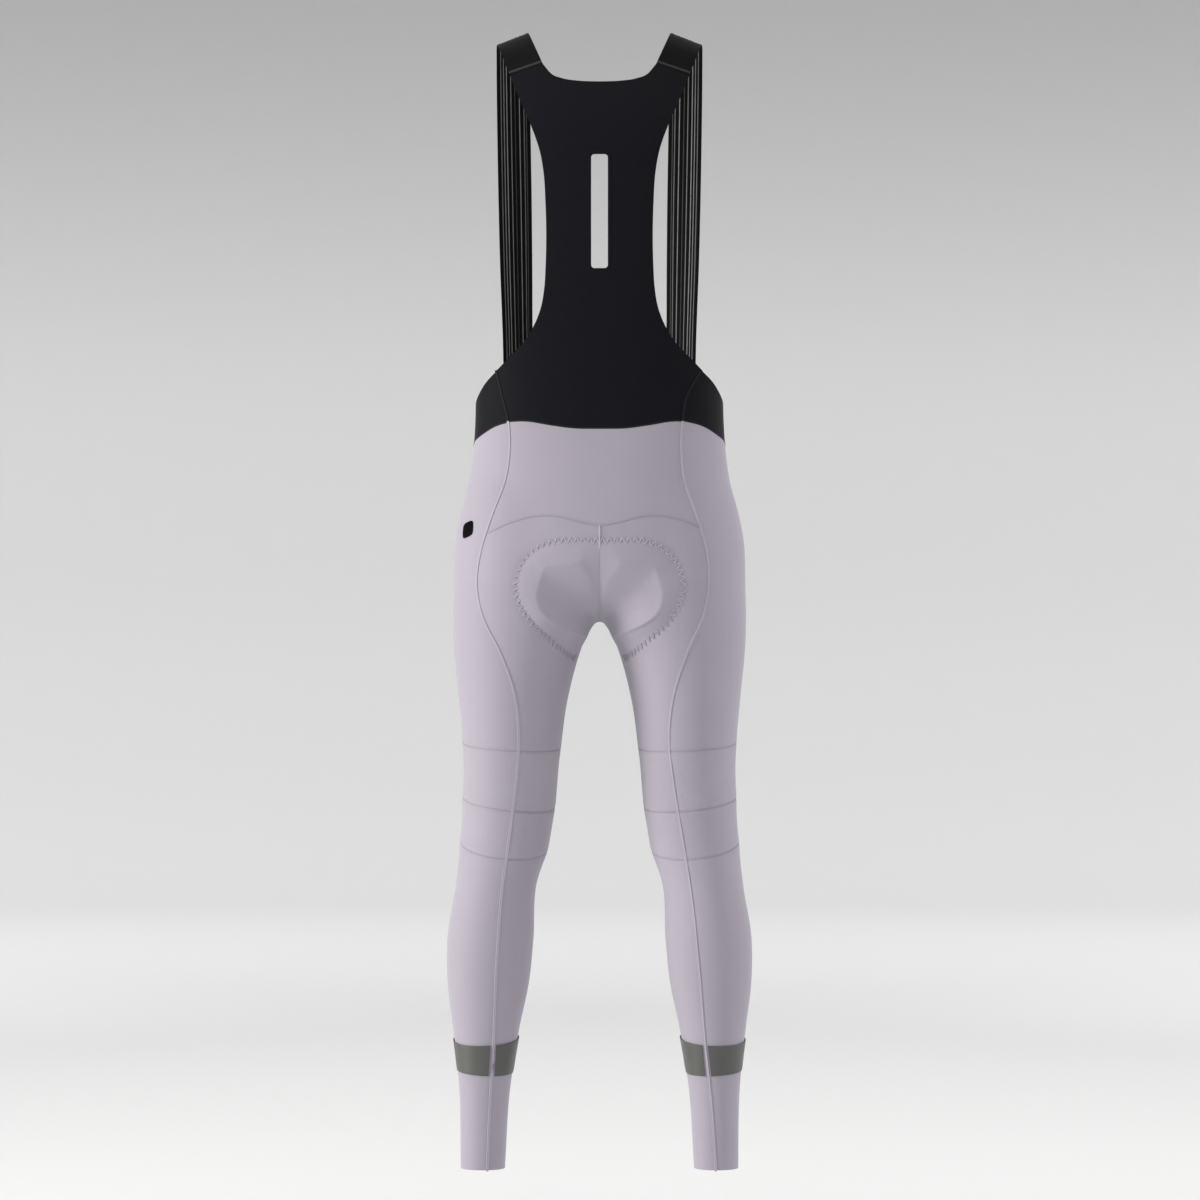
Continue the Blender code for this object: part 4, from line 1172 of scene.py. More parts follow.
def lay_cloth_layer(mesh: bpy.types.Mesh, uv: Array) -> None:
    """Gives a mesh its layer of cloth distances, from those of its points."""
    layer = mesh.uv_layers.new(name="cloth")
    corners = np.zeros(len(mesh.loops), int)
    mesh.loops.foreach_get("vertex_index", corners)
    layer.data.foreach_set("uv", uv[corners].astype(np.float32).ravel())


def make_piece(name: str, points: Array, faces: Array, uv: Array, material: Material,
               slot: Slot, replaces: Sequence[str] = (),
               caps: Sequence[Sequence[int]] = ()) -> Piece:
    """Makes a mesh object that rides on the one body.

    Args:
        name: the piece's name.
        points: places in millimetres.
        faces: quads as corner numbers.
        uv: cloth distances of each point, in millimetres.
        material: its finish.
        slot: the material slot; not used.
        replaces: the nodes that it stands for.
        caps: further faces with any number of corners.

    Returns:
        The object, at the origin.
    """
    used, flat = np.unique(faces, return_inverse=True)
    quads = flat.reshape(faces.shape).tolist()
    if len(caps):
        quads += [list(cap) for cap in caps]
    mesh = bpy.data.meshes.new(name)
    mesh.from_pydata((points[used] * MM).tolist(), [], quads)
    lay_cloth_layer(mesh, uv[used])
    mesh.shade_smooth()
    mesh.set_sharp_from_angle(angle=SHARP_ANGLE)
    mesh.materials.append(material)
    obj = bpy.data.objects.new(name, mesh)
    bpy.context.scene.collection.objects.link(obj)
    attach(obj, BODY)
    if replaces:
        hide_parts(*replaces)
    LOG.info("%s: %d points, %d faces", name, len(used), len(quads))
    return obj


def grid_distances(grid: Array) -> Array:
    """Cloth distances of a grid: along each row from its middle, and down each column."""
    across = np.linalg.norm(np.diff(grid, axis=1), axis=-1)
    across = np.concatenate([np.zeros((len(grid), 1)), np.cumsum(across, axis=1)], axis=1)
    across -= across[:, across.shape[1] // 2][:, None]
    down = np.linalg.norm(np.diff(grid, axis=0), axis=-1)
    down = np.concatenate([np.zeros((1, grid.shape[1])), np.cumsum(down, axis=0)])
    return np.stack([across, down], axis=-1)


def inset_edges(grid: Array, gap: float, sides: str) -> Array:
    """Moves a grid's edges in by half the gap that is left at a seam."""
    grid = np.array(grid, float)
    edges = {
        "t": (grid[0], grid[1]),
        "b": (grid[-1], grid[-2]),
        "l": (grid[:, 0], grid[:, 1]),
        "r": (grid[:, -1], grid[:, -2]),
    }
    for side in sides:
        edge, inner = edges[side]
        edge += unit(inner - edge) * (gap / 2)
    return grid


@dataclass(frozen=True)
class Stretch:
    """How much longer cloth is as worn than as cut, across and along."""

    across: float = 1.08
    along: float = 1.04

    def declare(self, piece: Piece, grid: Array, held: str, rests_on: Sequence[str] = (),
                used: Optional[Array] = None) -> None:
        """Declares a piece as a sheet whose cut is its worn size over the stretch.

        Args:
            piece: the cloth.
            grid: the cloth's places as worn, in millimetres.
            held: how the sheet is held; not used.
            rests_on: the pieces that carry it; not used.
            used: which cells there are, or none for all.
        """
        place = grid_distances(grid)
        width = np.ptp(place[..., 0], axis=1).max() / self.across * MM
        length = place[..., 1].max() / self.along * MM
        one, other = grid[1:, 1:] - grid[:-1, :-1], grid[1:, :-1] - grid[:-1, 1:]
        cells = np.linalg.norm(np.cross(one, other), axis=-1) / 2
        if used is not None:
            cells = cells[used]
        area = cells.sum() / (self.across * self.along) * MM * MM
        area = min(area, width * length)
        LOG.info("%s is cut %.0f by %.0f mm, %.4f m2", piece.name, width / MM, length / MM, area)


@dataclass
class Panel:
    """One cut piece of cloth: a thin wall on the figure, with sunk seams and its own relief."""

    name: str
    grid: Array
    side: Optional[Side]
    material: Material
    slot: Slot
    node: str
    stretch: Stretch = Stretch()
    cloth: float = 1.4
    seam_gap: float = 0.3
    sides: str = "tblr"
    relief: Optional[Relief] = None
    flatlocked: str = ""
    lipped: str = ""
    hole: Optional[tuple[slice, slice]] = None
    rests_on: tuple[str, ...] = ()
    sink: float = 0.12
    sink_width: float = 3.0
    lip: float = 0.65
    lip_width: float = 5.5
    lip_gain: float = 3.2
    lip_fall: float = 1.4
    lip_notch: float = 0.5
    notch_fall: float = 2.4

    def edge_distances(self, grid: Array) -> dict[str, Array]:
        """Distance of each point from the four edges, along the cloth."""
        place = grid_distances(grid)
        across, down = place[..., 0], place[..., 1]
        return {
            "t": down,
            "b": down[-1:] - down,
            "l": across - across[:, :1],
            "r": across[:, -1:] - across,
        }

    def heights(self, grid: Array) -> Array:
        """Relief of the outside: sunk by a bell curve at flat seams, puffed beside ring seams."""
        height = np.zeros(grid.shape[:-1])
        distances = self.edge_distances(grid)
        for side in self.flatlocked:
            height -= self.sink * np.exp(-((distances[side] / self.sink_width) ** 2))
        for side in self.lipped:
            reach = distances[side] / self.lip_width
            puff = self.lip_gain * reach * np.exp(-self.lip_fall * reach)
            notch = self.lip_notch * np.exp(-((self.notch_fall * reach) ** 2))
            height += self.lip * (puff - notch)
        if self.relief:
            height += self.relief(grid)
        return height

    def build(self) -> Piece:
        grid = inset_edges(self.grid, self.seam_gap, self.sides)
        normals = FIGURE.normals(grid)
        height = self.heights(grid)
        outer = grid + normals * height[..., None]
        inner = grid + normals * (height - self.cloth)[..., None]
        if self.side is Side.RIGHT:
            outer, inner = mirrored(outer), mirrored(inner)
        used = np.ones((grid.shape[0] - 1, grid.shape[1] - 1), bool)
        if self.hole:
            used[self.hole] = False
        points, faces, uv = wall(outer, inner, grid_distances(grid), used)
        piece = make_piece(self.name, points, faces, uv, self.material, self.slot, (self.node,))
        self.stretch.declare(piece, grid, "stretched", self.rests_on, used)
        return piece


def carried(path: Array, normals: Array, profile: Array, swell: Optional[Array] = None,
            closed: bool = False) -> Strip:
    """A closed profile carried along a path on the cloth.

    A point is the path's point plus its sideways distance times the sideways vector plus its
    height times the normal.

    Args:
        path: the points that the profile follows.
        normals: outward unit vectors at them.
        profile: sideways distances and heights round the profile.
        swell: factors on the heights above nought, one for each path point.
        closed: whether the path ends where it starts.

    Returns:
        Points, quads, cloth distances and the two end caps.
    """
    if closed:
        along = np.roll(path, -1, axis=0) - np.roll(path, 1, axis=0)
    else:
        along = np.gradient(path, axis=0)
    sideways = unit(np.cross(along, normals))
    heights = np.tile(profile[:, 1], (len(path), 1))
    if swell is not None:
        heights = np.where(heights > 0, heights * swell[:, None], heights)
    points = path[:, None] + sideways[:, None] * profile[None, :, :1] + normals[:, None] * heights[..., None]
    count, round_it = len(path), len(profile)
    index = np.arange(count * round_it).reshape(count, round_it)
    after = np.roll(index, -1, axis=1)
    if closed:
        first, second = index, np.roll(index, -1, axis=0)
        quads = np.stack([first, np.roll(first, -1, axis=1), np.roll(second, -1, axis=1), second], axis=-1)
        caps: list[list[int]] = []
    else:
        quads = np.stack([index[:-1], after[:-1], after[1:], index[1:]], axis=-1)
        caps = [index[0][::-1].tolist(), index[-1].tolist()]
    lengths = arc_lengths(path)
    girth = np.concatenate([[0.0], np.cumsum(np.linalg.norm(np.diff(profile, axis=0), axis=1))])
    uv = np.stack(np.broadcast_arrays(girth[None, :], lengths[:, None]), axis=-1)
    return points.reshape(-1, 3), quads.reshape(-1, 4), uv.reshape(-1, 2), caps


@dataclass
class Trim:
    """Many carried profiles joined into one piece, such as the seams of one side."""

    name: str
    material: Material
    slot: Slot
    parts: list[Strip] = field(default_factory=list)

    def add(self, part: Strip, side: Optional[Side] = None) -> None:
        """Adds a part, turned over to the right side where it belongs there."""
        points, quads, uv, caps = part
        if side is Side.RIGHT:
            points, quads, caps = mirrored(points), quads[:, ::-1], [cap[::-1] for cap in caps]
        self.parts.append((points, quads, uv, caps))

    def build(self) -> Piece:
        """Joins the parts into one mesh."""
        start, quads, caps = 0, [], []
        for points, faces, _, ends in self.parts:
            quads.append(faces + start)
            caps += [[number + start for number in cap] for cap in ends]
            start += len(points)
        points = np.concatenate([part[0] for part in self.parts])
        uv = np.concatenate([part[2] for part in self.parts])
        return make_piece(self.name, points, np.concatenate(quads), uv, self.material, self.slot, caps=caps)


def round_profile(radius: float, sides: int = 6) -> Array:
    """A profile of even sides about the path."""
    angle = np.linspace(0, -2 * math.pi, sides, endpoint=False)
    return np.stack([radius * np.cos(angle), radius * np.sin(angle)], axis=1)


@dataclass(frozen=True)
class Flatlock:
    """A flat seam: two low ridges of looped thread with a dip between them."""

    half: float = 2.5
    ridge: float = 0.5
    dip: float = 0.3
    foot: float = -0.7
    pitch: float = 2.0
    loop: float = 0.14
    crown: float = 0.82
    shoulder: float = 0.5
    shoulder_height: float = 0.96

    def profile(self) -> Array:
        """Sideways distances and heights round the seam, its foot sunk in the cloth."""
        half, ridge, foot = self.half, self.ridge, self.foot
        crown, shoulder, low = self.crown * half, self.shoulder * half, ridge * self.shoulder_height
        shape = [(-half, foot), (-half, 0.0), (-crown, ridge), (-shoulder, low), (0.0, self.dip)]
        shape += [(shoulder, low), (crown, ridge), (half, 0.0), (half, foot)]
        return np.array(shape)

    def along(self, line: Array, extra: float = 0.0) -> Strip:
        """The seam laid on the figure along a line, its height swelling once for each loop."""
        length = arc_lengths(line)[-1]
        at = np.linspace(0, length, int(length / (self.pitch / 2)) + 1)
        path = FIGURE.settle(points_along(line, at), 3)
        if extra:
            path[-1] += unit(path[-1] - path[-2]) * extra
        swell = 1 + self.loop * np.where(np.arange(len(path)) % 2 == 0, 1.0, -1.0)
        return carried(path, FIGURE.normals(path), self.profile(), swell)


@dataclass(frozen=True)
class Stitch:
    """A line of zigzag thread."""

    half: float
    pitch: float
    thread: float
    lift: float = 0.2
    steps: int = 4

    def along(self, path: Array, normals: Array) -> Strip:
        """Thread that crosses the line from side to side as a triangle wave with rounded points."""
        length = arc_lengths(path)[-1]
        teeth = max(2, int(round(length / self.pitch)))
        at = np.linspace(0, length, teeth * self.steps * 2 + 1)
        centre = points_along(path, at)
        spacing = arc_lengths(path)
        normal = unit(np.stack([np.interp(at, spacing, normals[:, k]) for k in range(3)], axis=1))
        sideways = unit(np.cross(np.gradient(centre, axis=0), normal))
        phase = at / length * teeth
        wave = 4 * np.abs(phase - np.floor(phase + 0.5)) - 1
        line = centre + sideways * (wave * self.half)[:, None] + normal * self.lift
        return carried(line, normal, round_profile(self.thread))


# Outline of one lobe of the pad as it shows through the seat: distance from the middle, drop.
LOBE_OUTLINE: Table = {
    "inner top": (23.9, 633.3),
    "outer top": (67.4, 640.0),
    "widest": (78.2, 672.0),
    "outer": (74.5, 690.0),
    "outer bottom": (66.8, 701.9),
    "bottom": (45.3, 714.5),
    "inner bottom": (22.7, 722.7),
    "fork": (9.0, 706.0),
    "inner": (6.0, 680.4),
    "upper inner": (8.0, 656.0),
}
LOBE_INNER_CORNERS = ("fork", "inner", "upper inner")

# Outline within which the seat sags between the lobe's edges, open over the middle.
SAG_OUTLINE: Table = {
    "beyond middle, top": (-30.0, 626.0),
    **{name: place for name, place in LOBE_OUTLINE.items() if name not in LOBE_INNER_CORNERS},
    "beyond middle, bottom": (-30.0, 735.0),
}

# Line of the zigzag that holds the pad, from the middle outwards: distance from the middle, drop.
PAD_STITCH_LINE: Table = {
    "middle": (0.0, 609.4),
    "top": (30.0, 609.4),
    "end of top": (53.7, 609.8),
    "bend": (69.2, 615.4),
    "shoulder": (81.2, 623.2),
    "upper side": (93.1, 637.5),
    "side": (99.1, 654.1),
    "widest": (99.8, 668.5),
    "lower side": (95.2, 685.2),
    "turn": (86.2, 699.5),
    "lower bend": (73.8, 713.8),
    "below lobe": (60.0, 725.7),
    "towards fork": (45.8, 738.2),
    "at fork": (33.4, 747.2),
    "inner leg": (29.5, 749.6),
}

# Soft creases: start x, y, drop, end x, y, drop, width, depth, where a negative depth is a ridge.
CREASES: Table = {
    "under left lobe": (58, 90, 722, 24, 92, 733, 5.0, 0.9),
    "under right lobe": (-64, 90, 716, -30, 92, 736, 6.0, 0.8),
    "right lobe to leg": (-60, 88, 728, -40, 88, 748, 4.0, -0.6),
    "left fork pull": (38, 88, 742, 20, 90, 760, 4.0, 0.8),
    "right fork pull": (-30, 90, 744, -18, 88, 764, 5.0, 0.7),
    "left inner thigh": (26, 60, 765, 40, 70, 800, 6.0, 0.6),
    "right inner thigh": (-25, 60, 770, -42, 70, 796, 5.0, 0.5),
    "left hollow of knee": (70, 55, 930, 100, 52, 938, 6.0, 0.5),
    "right hollow of knee": (-72, 55, 934, -98, 52, 928, 6.0, 0.5),
    "left front fork": (16, -84, 640, 52, -90, 610, 7.0, 0.9),
    "right front fork": (-16, -84, 646, -56, -90, 622, 7.0, 0.8),
    "left front fork, low": (14, -82, 672, 48, -88, 650, 6.0, 0.7),
    "right front fork, low": (-14, -82, 676, -44, -88, 660, 6.0, 0.7),
    "left knee front": (90, -62, 930, 126, -66, 926, 7.0, 0.6),
    "right knee front": (-92, -62, 926, -124, -66, 932, 7.0, 0.5),
}
CREASE_REACH = np.array([1.0, 0.35, 1.0])
CREASE_START = (-0.15, 0.3)
CREASE_END = (0.7, 1.15)


def crease_relief(points: Array) -> Array:
    """How much the creases lower points of the cloth.

    Each is its depth times a bell curve of the distance from its line, faded over its ends. The
    distance counts less from front to back.
    """
    height = np.zeros(points.shape[:-1])
    for x0, y0, drop0, x1, y1, drop1, width, depth in CREASES.values():
        start, end = np.array([x0, y0, -drop0]), np.array([x1, y1, -drop1])
        along = end - start
        share = ((points - start) @ along) / (along @ along)
        near = start + np.clip(share, 0, 1)[..., None] * along
        distance = np.linalg.norm((points - near) * CREASE_REACH, axis=-1)
        fade = smooth_step(share, *CREASE_START) * (1 - smooth_step(share, *CREASE_END))
        height -= depth * np.exp(-((distance / width) ** 2)) * fade
    return height


def creased(side: Optional[Side]) -> Relief:
    """The creases as relief of a panel whose right side comes mirrored."""
    if side is Side.RIGHT:
        return lambda points: crease_relief(mirrored(points))
    return crease_relief


@dataclass(frozen=True)
class PadShowing:
    """How the pad shows through the seat: its body with two flat lobes in a line of stitches.

    A pair of numbers is the span over which a part of the relief fades in.
    """

    rise: float = 5.4
    step: float = 0.5
    under_step: float = 2.0
    rounding: float = 1.8
    valley: float = 14.0
    valley_share: float = 0.16
    groove: float = 0.45
    groove_width: float = 5.0
    sag: float = 2.2
    sag_reach: float = 10.0
    behind: tuple[float, float] = (5.0, 30.0)
    valley_edge: tuple[float, float] = (-2.0, 6.0)
    under_drops: tuple[float, float] = (688.0, 708.0)
    apart_from: tuple[float, float] = (5.0, 22.0)
    apart_drops: tuple[float, float] = (640.0, 662.0)
    step_edge: tuple[float, float] = (-0.8, 1.2)
    line_points: int = 160
    stride: int = 4

    def inside(self, points: Array, outline: Table) -> Array:
        """Distance inside a convex outline: the soft least of the distances from its sides."""
        x, drop = np.abs(points[..., 0]), -points[..., 2]
        corners = np.array(list(outline.values()), float)
        following = np.roll(corners, -1, axis=0)
        way = unit(following - corners)
        offset = np.stack([x, drop], axis=-1)[..., None, :] - corners
        distances = way[:, 0] * offset[..., 1] - way[:, 1] * offset[..., 0]
        return -self.rounding * np.log(np.exp(-np.clip(distances, -150, 150) / self.rounding).sum(axis=-1))

    def line(self) -> Array:
        """The stitch line from the middle outwards, as distances and drops."""
        x, drop = columns_of(PAD_STITCH_LINE)
        spans = np.concatenate([[0.0], np.cumsum(np.hypot(np.diff(x), np.diff(drop)))])
        at = np.linspace(0, spans[-1], self.line_points)
        return np.stack([smooth_curve(spans, x, at), smooth_curve(spans, drop, at)], axis=1)

    def from_line(self, points: Array) -> Array:
        """Distance from the stitch line in the back view, below nought outside it."""
        line = self.line()
        place = np.stack([np.abs(points[..., 0]), -points[..., 2]], axis=-1)
        distance = np.full(points.shape[:-1], 1e3)
        turned = np.zeros(points.shape[:-1])
        for start, end in zip(line[: -1 : self.stride], line[self.stride :: self.stride]):
            along = end - start
            offset = place - start
            share = np.clip((offset @ along) / (along @ along), 0, 1)
            away = np.linalg.norm(offset - share[..., None] * along, axis=-1)
            side = along[0] * offset[..., 1] - along[1] * offset[..., 0]
            turned = np.where(away < distance, np.sign(side), turned)
            distance = np.minimum(distance, away)
        return distance * turned

    def relief(self, points: Array) -> Array:
        """Height of the seat over the figure.

        The body rises straight from the stitch line to the lobes. A small step bounds each lobe,
        more so underneath and less so towards the other lobe. Both faces sink again by an
        exponential of the distance from their outer edge, so that they look flat. The body is
        lower between the lobes, and a groove follows the stitch line.
        """
        aside, drop = np.abs(points[..., 0]), -points[..., 2]
        behind = smooth_step(points[..., 1], *self.behind)
        edge = self.from_line(points)
        depth = self.inside(points, LOBE_OUTLINE)
        within = np.clip(edge, 0, None)
        body = self.rise * within / (within + np.clip(-depth, 0, None) + 0.5)
        middle = np.exp(-((aside / self.valley) ** 2)) * smooth_step(-depth, *self.valley_edge)
        body *= 1 - self.valley_share * middle
        step = self.step + self.under_step * smooth_step(drop, *self.under_drops)
        apart = np.maximum(smooth_step(aside, *self.apart_from), 1 - smooth_step(drop, *self.apart_drops))
        lobe = step * smooth_step(depth, *self.step_edge) * apart
        sagging = np.clip(self.inside(points, SAG_OUTLINE), 0, None)
        lobe -= self.sag * (1 - np.exp(-sagging / self.sag_reach))
        groove = self.groove * np.exp(-((edge / self.groove_width) ** 2))
        return (body + lobe - groove) * behind

    def stitch_path(self) -> tuple[Array, Array]:
        """The stitch line on the seat's surface with its normals, from side to side."""
        half = self.line()
        flat = np.concatenate([half[::-1] * np.array([-1, 1]), half[1:]])
        path = FIGURE.on_back(flat[:, 0], flat[:, 1])
        normals = FIGURE.normals(path)
        return path + normals * self.relief(path)[:, None], normals


@dataclass(frozen=True)
class Finishes:
    """Every material of the tights."""

    lilac: Material
    waffle: Material
    black: Material
    elastic: Material
    film: Material
    foam: Material
    label: Material
    lilac_thread: Material
    pale_thread: Material
    pad_thread: Material
    shaded_thread: Material
    black_thread: Material
    grey_thread: Material


LILAC = (0.334, 0.308, 0.36)
BLACK = (0.0046, 0.0043, 0.0068)

# Grooves of the elastic, from its outer edge: distance in millimetres, how light its yarn shows.
GROOVES = (
    (4.9, 0.6),
    (8.4, 0.8),
    (11.9, 1.0),
    (17.0, 0.75),
    (21.8, 0.2),
    (27.2, 0.95),
    (32.6, 0.6),
    (35.4, 0.25),
)
STRAP_WIDTH = 40.4
STRAP_RIBS_START = 64.0


def lilac_times(factor: float) -> tuple[float, ...]:
    """The lilac-grey, lighter or darker by a factor."""
    return tuple(c * factor for c in LILAC)


def make_finishes() -> Finishes:
    """Makes every material once."""
    matt = {"specular": 0.1, "sheen": 0.02}
    black = Knit("black_knit", BLACK, roughness=0.66, sheen=0.06, specular=0.08, contrast=0.12, strength=0.3)
    elastic = RibbedElastic(
        "black_ribbed_elastic", colour=(0.0012, 0.0012, 0.0014), plain=(0.013, 0.013, 0.0135),
        yarn=(0.34, 0.34, 0.35), grooves=GROOVES, width=STRAP_WIDTH, starts=STRAP_RIBS_START)
    return Finishes(
        lilac=Knit("lilac_knit", LILAC).make(),
        waffle=Waffle("lilac_waffle_knit", lilac_times(1.1)).make(),
        black=black.make(),
        elastic=elastic.make(),
        film=ReflectiveFilm("grey_reflective_film", (0.084, 0.0858, 0.0815)).make(),
        foam=BrushedFoam("pad_cover", (0.05, 0.05, 0.06)).make(),
        label=RubberLabel("black_label", (0.0015, 0.0015, 0.0018)).make(),
        # Seam thread a little lighter than the cloth; the extra lightness paints light on the ridges of the
        # seams.
        lilac_thread=Yarn("lilac_thread", lilac_times(1.16)).make(),
        # Thread of the back and front middle seams, far lighter than the cloth: painted highlight on their
        # ridge.
        pale_thread=Yarn("pale_thread", lilac_times(1.45)).make(),
        # Thread of the pad's zigzag, far lighter than the cloth: painted highlight on the stitches.
        pad_thread=Yarn("pad_thread", lilac_times(1.3)).make(),
        # A thread a little darker than the cloth: a slight painted shade along the knee rings and the seat
        # seam, and the painted shadow of the lower zigzag; the band's bar tack takes it as its own thread
        # colour.
        shaded_thread=Yarn("shaded_thread", lilac_times(0.97), **matt).make(),
        black_thread=Yarn("black_thread", (0.011, 0.011, 0.013), **matt).make(),
        grey_thread=Yarn("grey_thread", (0.1, 0.1, 0.104), **matt).make(),
    )


@dataclass
class Bib:
    """Black back of the bib with its bound slot, and the front waist."""

    patterns: tuple[Pattern, Pattern]
    finishes: Finishes
    slot_rounding: float = 4.4
    binding_width: float = 3.2
    binding_rise: float = 0.35
    binding_corner: float = 0.3
    binding_bulge: float = 0.42
    binding_bevel: float = 0.4
    cloth: float = 1.4
    corner_steps: int = 8
    side_steps: int = 60

    def build(self) -> list[Piece]:
        """Builds the two panels and the slot's binding."""
        left, right = self.patterns
        grid = across_middle(left.bib_half(), right.bib_half())
        _, _, (first, last) = left.bib_rows()
        middle, fine = grid.shape[1] // 2, left.fine
        hole = (slice(first, last), slice(middle - fine, middle + fine))
        back = Panel("bib_back_cloth", grid, None, self.finishes.black, Slot.BLACK, "bib_back",
                     hole=hole, flatlocked="b").build()
        waist_grid = across_middle(*[p.front_waist_half()[:, ::-1] for p in self.patterns])
        waist = Panel("front_waist_cloth", waist_grid, None, self.finishes.black, Slot.BLACK,
                      "front_waist", flatlocked="lrb").build()
        return [back, waist, self.build_binding()]

    def slot_outline(self) -> Array:
        """The slot's outline as distances and drops: straight sides and quarter-circle corners."""
        half, radius = SLOT_HALF_WIDTH, self.slot_rounding
        top, bottom = SLOT_TOP + radius, SLOT_BOTTOM - radius
        inner = half - radius
        turn = np.linspace(0, math.pi / 2, self.corner_steps + 1)
        sides = np.linspace(top, bottom, self.side_steps + 1)[1:-1]
        ends = np.linspace(-inner, inner, self.corner_steps + 1)[1:-1]
        parts = [
            (inner + radius * np.sin(turn), top - radius * np.cos(turn)),
            (np.full(len(sides), half), sides),
            (inner + radius * np.cos(turn), bottom + radius * np.sin(turn)),
            (ends[::-1], np.full(len(ends), SLOT_BOTTOM)),
            (-inner - radius * np.sin(turn), bottom + radius * np.cos(turn)),
            (np.full(len(sides), -half), sides[::-1]),
            (-inner - radius * np.cos(turn), top - radius * np.sin(turn)),
            (ends, np.full(len(ends), SLOT_TOP)),
        ]
        return np.concatenate([np.stack(part, axis=1) for part in parts])

    def build_binding(self) -> Piece:
        """A flat tape round the slot, over the cloth's edge on both faces."""
        outline = self.slot_outline()
        path = FIGURE.on_back(outline[:, 0], outline[:, 1])
        width, rise, under = self.binding_width, self.binding_rise, -self.cloth - self.binding_rise
        corner, bulge, bevel = self.binding_corner, self.binding_bulge, self.binding_bevel
        turn = [(0.0, rise), (-corner, rise - corner), (-bulge, rise / 2 + under / 2)]
        turn += [(-corner, under + corner), (0.0, under)]
        back = [(width - corner, under), (width, under + bevel)]
        back += [(width, rise - bevel), (width - corner, rise)]
        trim = Trim("slot_binding", self.finishes.black, Slot.BLACK)
        trim.add(carried(path, FIGURE.normals(path), np.array(turn + back)[::-1], closed=True))
        return trim.build()


@dataclass
class Straps:
    """Ribbed elastic shoulder straps with their bar tacks.

    The strap is smooth at the bib, and its ribs fade in over a span about their start.
    """

    patterns: tuple[Pattern, Pattern]
    finishes: Finishes
    stretch: Stretch = Stretch(across=1.0)
    cloth: float = 1.3
    rib: float = 0.75
    groove_width: float = 0.9
    edge_share: float = 0.035
    rib_fade: tuple[float, float] = (-6.0, 12.0)
    plain_rise: float = 0.45
    inner_sink: float = 0.35
    inner_share: float = 0.5
    rows: int = 150
    columns: int = 72
    gap: float = 0.3
    tack: Stitch = Stitch(half=1.7, pitch=2.2, thread=0.3, lift=0.3, steps=2)

    def edges(self, neck_row: Array, foot: Array) -> list[Array]:
        """The strap's inner and outer edge, from the bib over the crest to the front waist."""
        route = np.array(list(STRAP_ROUTE.values()), float)
        edges = []
        for k, start, end in ((0, neck_row[0], foot[-1]), (1, neck_row[-1], foot[0])):
            middle = route[:, 3 * k : 3 * k + 3] * np.array([1, 1, -1])
            points = np.concatenate([[start], middle, [end]])
            lengths = arc_lengths(points)
            at = np.linspace(0, lengths[-1], self.rows + 1)
            edges.append(np.stack([smooth_curve(lengths, points[:, a], at) for a in range(3)], axis=1))
        return edges

    def build(self) -> list[Piece]:
        """Builds both straps and one piece with all bar tacks."""
        tacks = Trim("strap_bar_tacks", self.finishes.grey_thread, Slot.ELASTIC)
        return [self.build_one(pattern, tacks) for pattern in self.patterns] + [tacks.build()]

    def build_one(self, pattern: Pattern, tacks: Trim) -> Piece:
        """One strap, whose ribs stand between the elastic's grooves on both faces."""
        columns = pattern.columns_on_strap * pattern.fine + 1
        half = pattern.bib_rows()
        neck_row = FIGURE.on_back(half[0][0][-columns:], half[1][0][-columns:])
        foot = pattern.lines["strap foot"]
        inner_edge, outer_edge = self.edges(neck_row, foot)
        share = np.linspace(0, 1, self.columns + 1)
        u = share[None, :, None]
        grid = (1 - u) * inner_edge[:, None] + u * outer_edge[:, None]
        normal = np.cross(np.gradient(grid, axis=0), np.gradient(grid, axis=1))
        for end, seam in ((0, neck_row), (-1, foot[::-1])):
            at = np.linspace(0, len(seam) - 1, self.columns + 1)
            grid[end] = np.stack([np.interp(at, np.arange(len(seam)), seam[:, k]) for k in range(3)], axis=1)
            normal[end] = FIGURE.slope(grid[end])
        normal = unit(normal)
        grid = inset_edges(grid, self.gap, "tb")
        uv = grid_distances(grid)
        uv[..., 0] = (1 - share)[None, :] * STRAP_WIDTH
        rib = np.ones(self.columns + 1)
        for place, _ in GROOVES:
            rib -= np.exp(-(((1 - share) * STRAP_WIDTH - place) / self.groove_width) ** 2)
        rib = np.clip(rib, 0, 1) * smooth_step(np.minimum(share, 1 - share), 0, self.edge_share)
        started = smooth_step(uv[..., 1] - STRAP_RIBS_START, *self.rib_fade)
        rise = self.rib * (rib[None, :] * started + self.plain_rise * (1 - started))
        outer = grid + normal * rise[..., None]
        inner = grid - normal * (self.cloth - self.inner_sink + self.inner_share * rise)[..., None]
        word = pattern.side.word
        piece = make_piece(f"elastic_strap_{word}", *wall(pattern.placed(outer), pattern.placed(inner), uv),
                           self.finishes.elastic, Slot.ELASTIC, (f"strap_{word}",))
        self.stretch.declare(piece, grid, "stretched", ("bib_back_cloth", "front_waist_cloth"))
        for row in (1, self.rows - 1):
            line = outer[row][1:-1]
            tacks.add(self.tack.along(line, normal[row][1:-1]), pattern.side)
        return piece


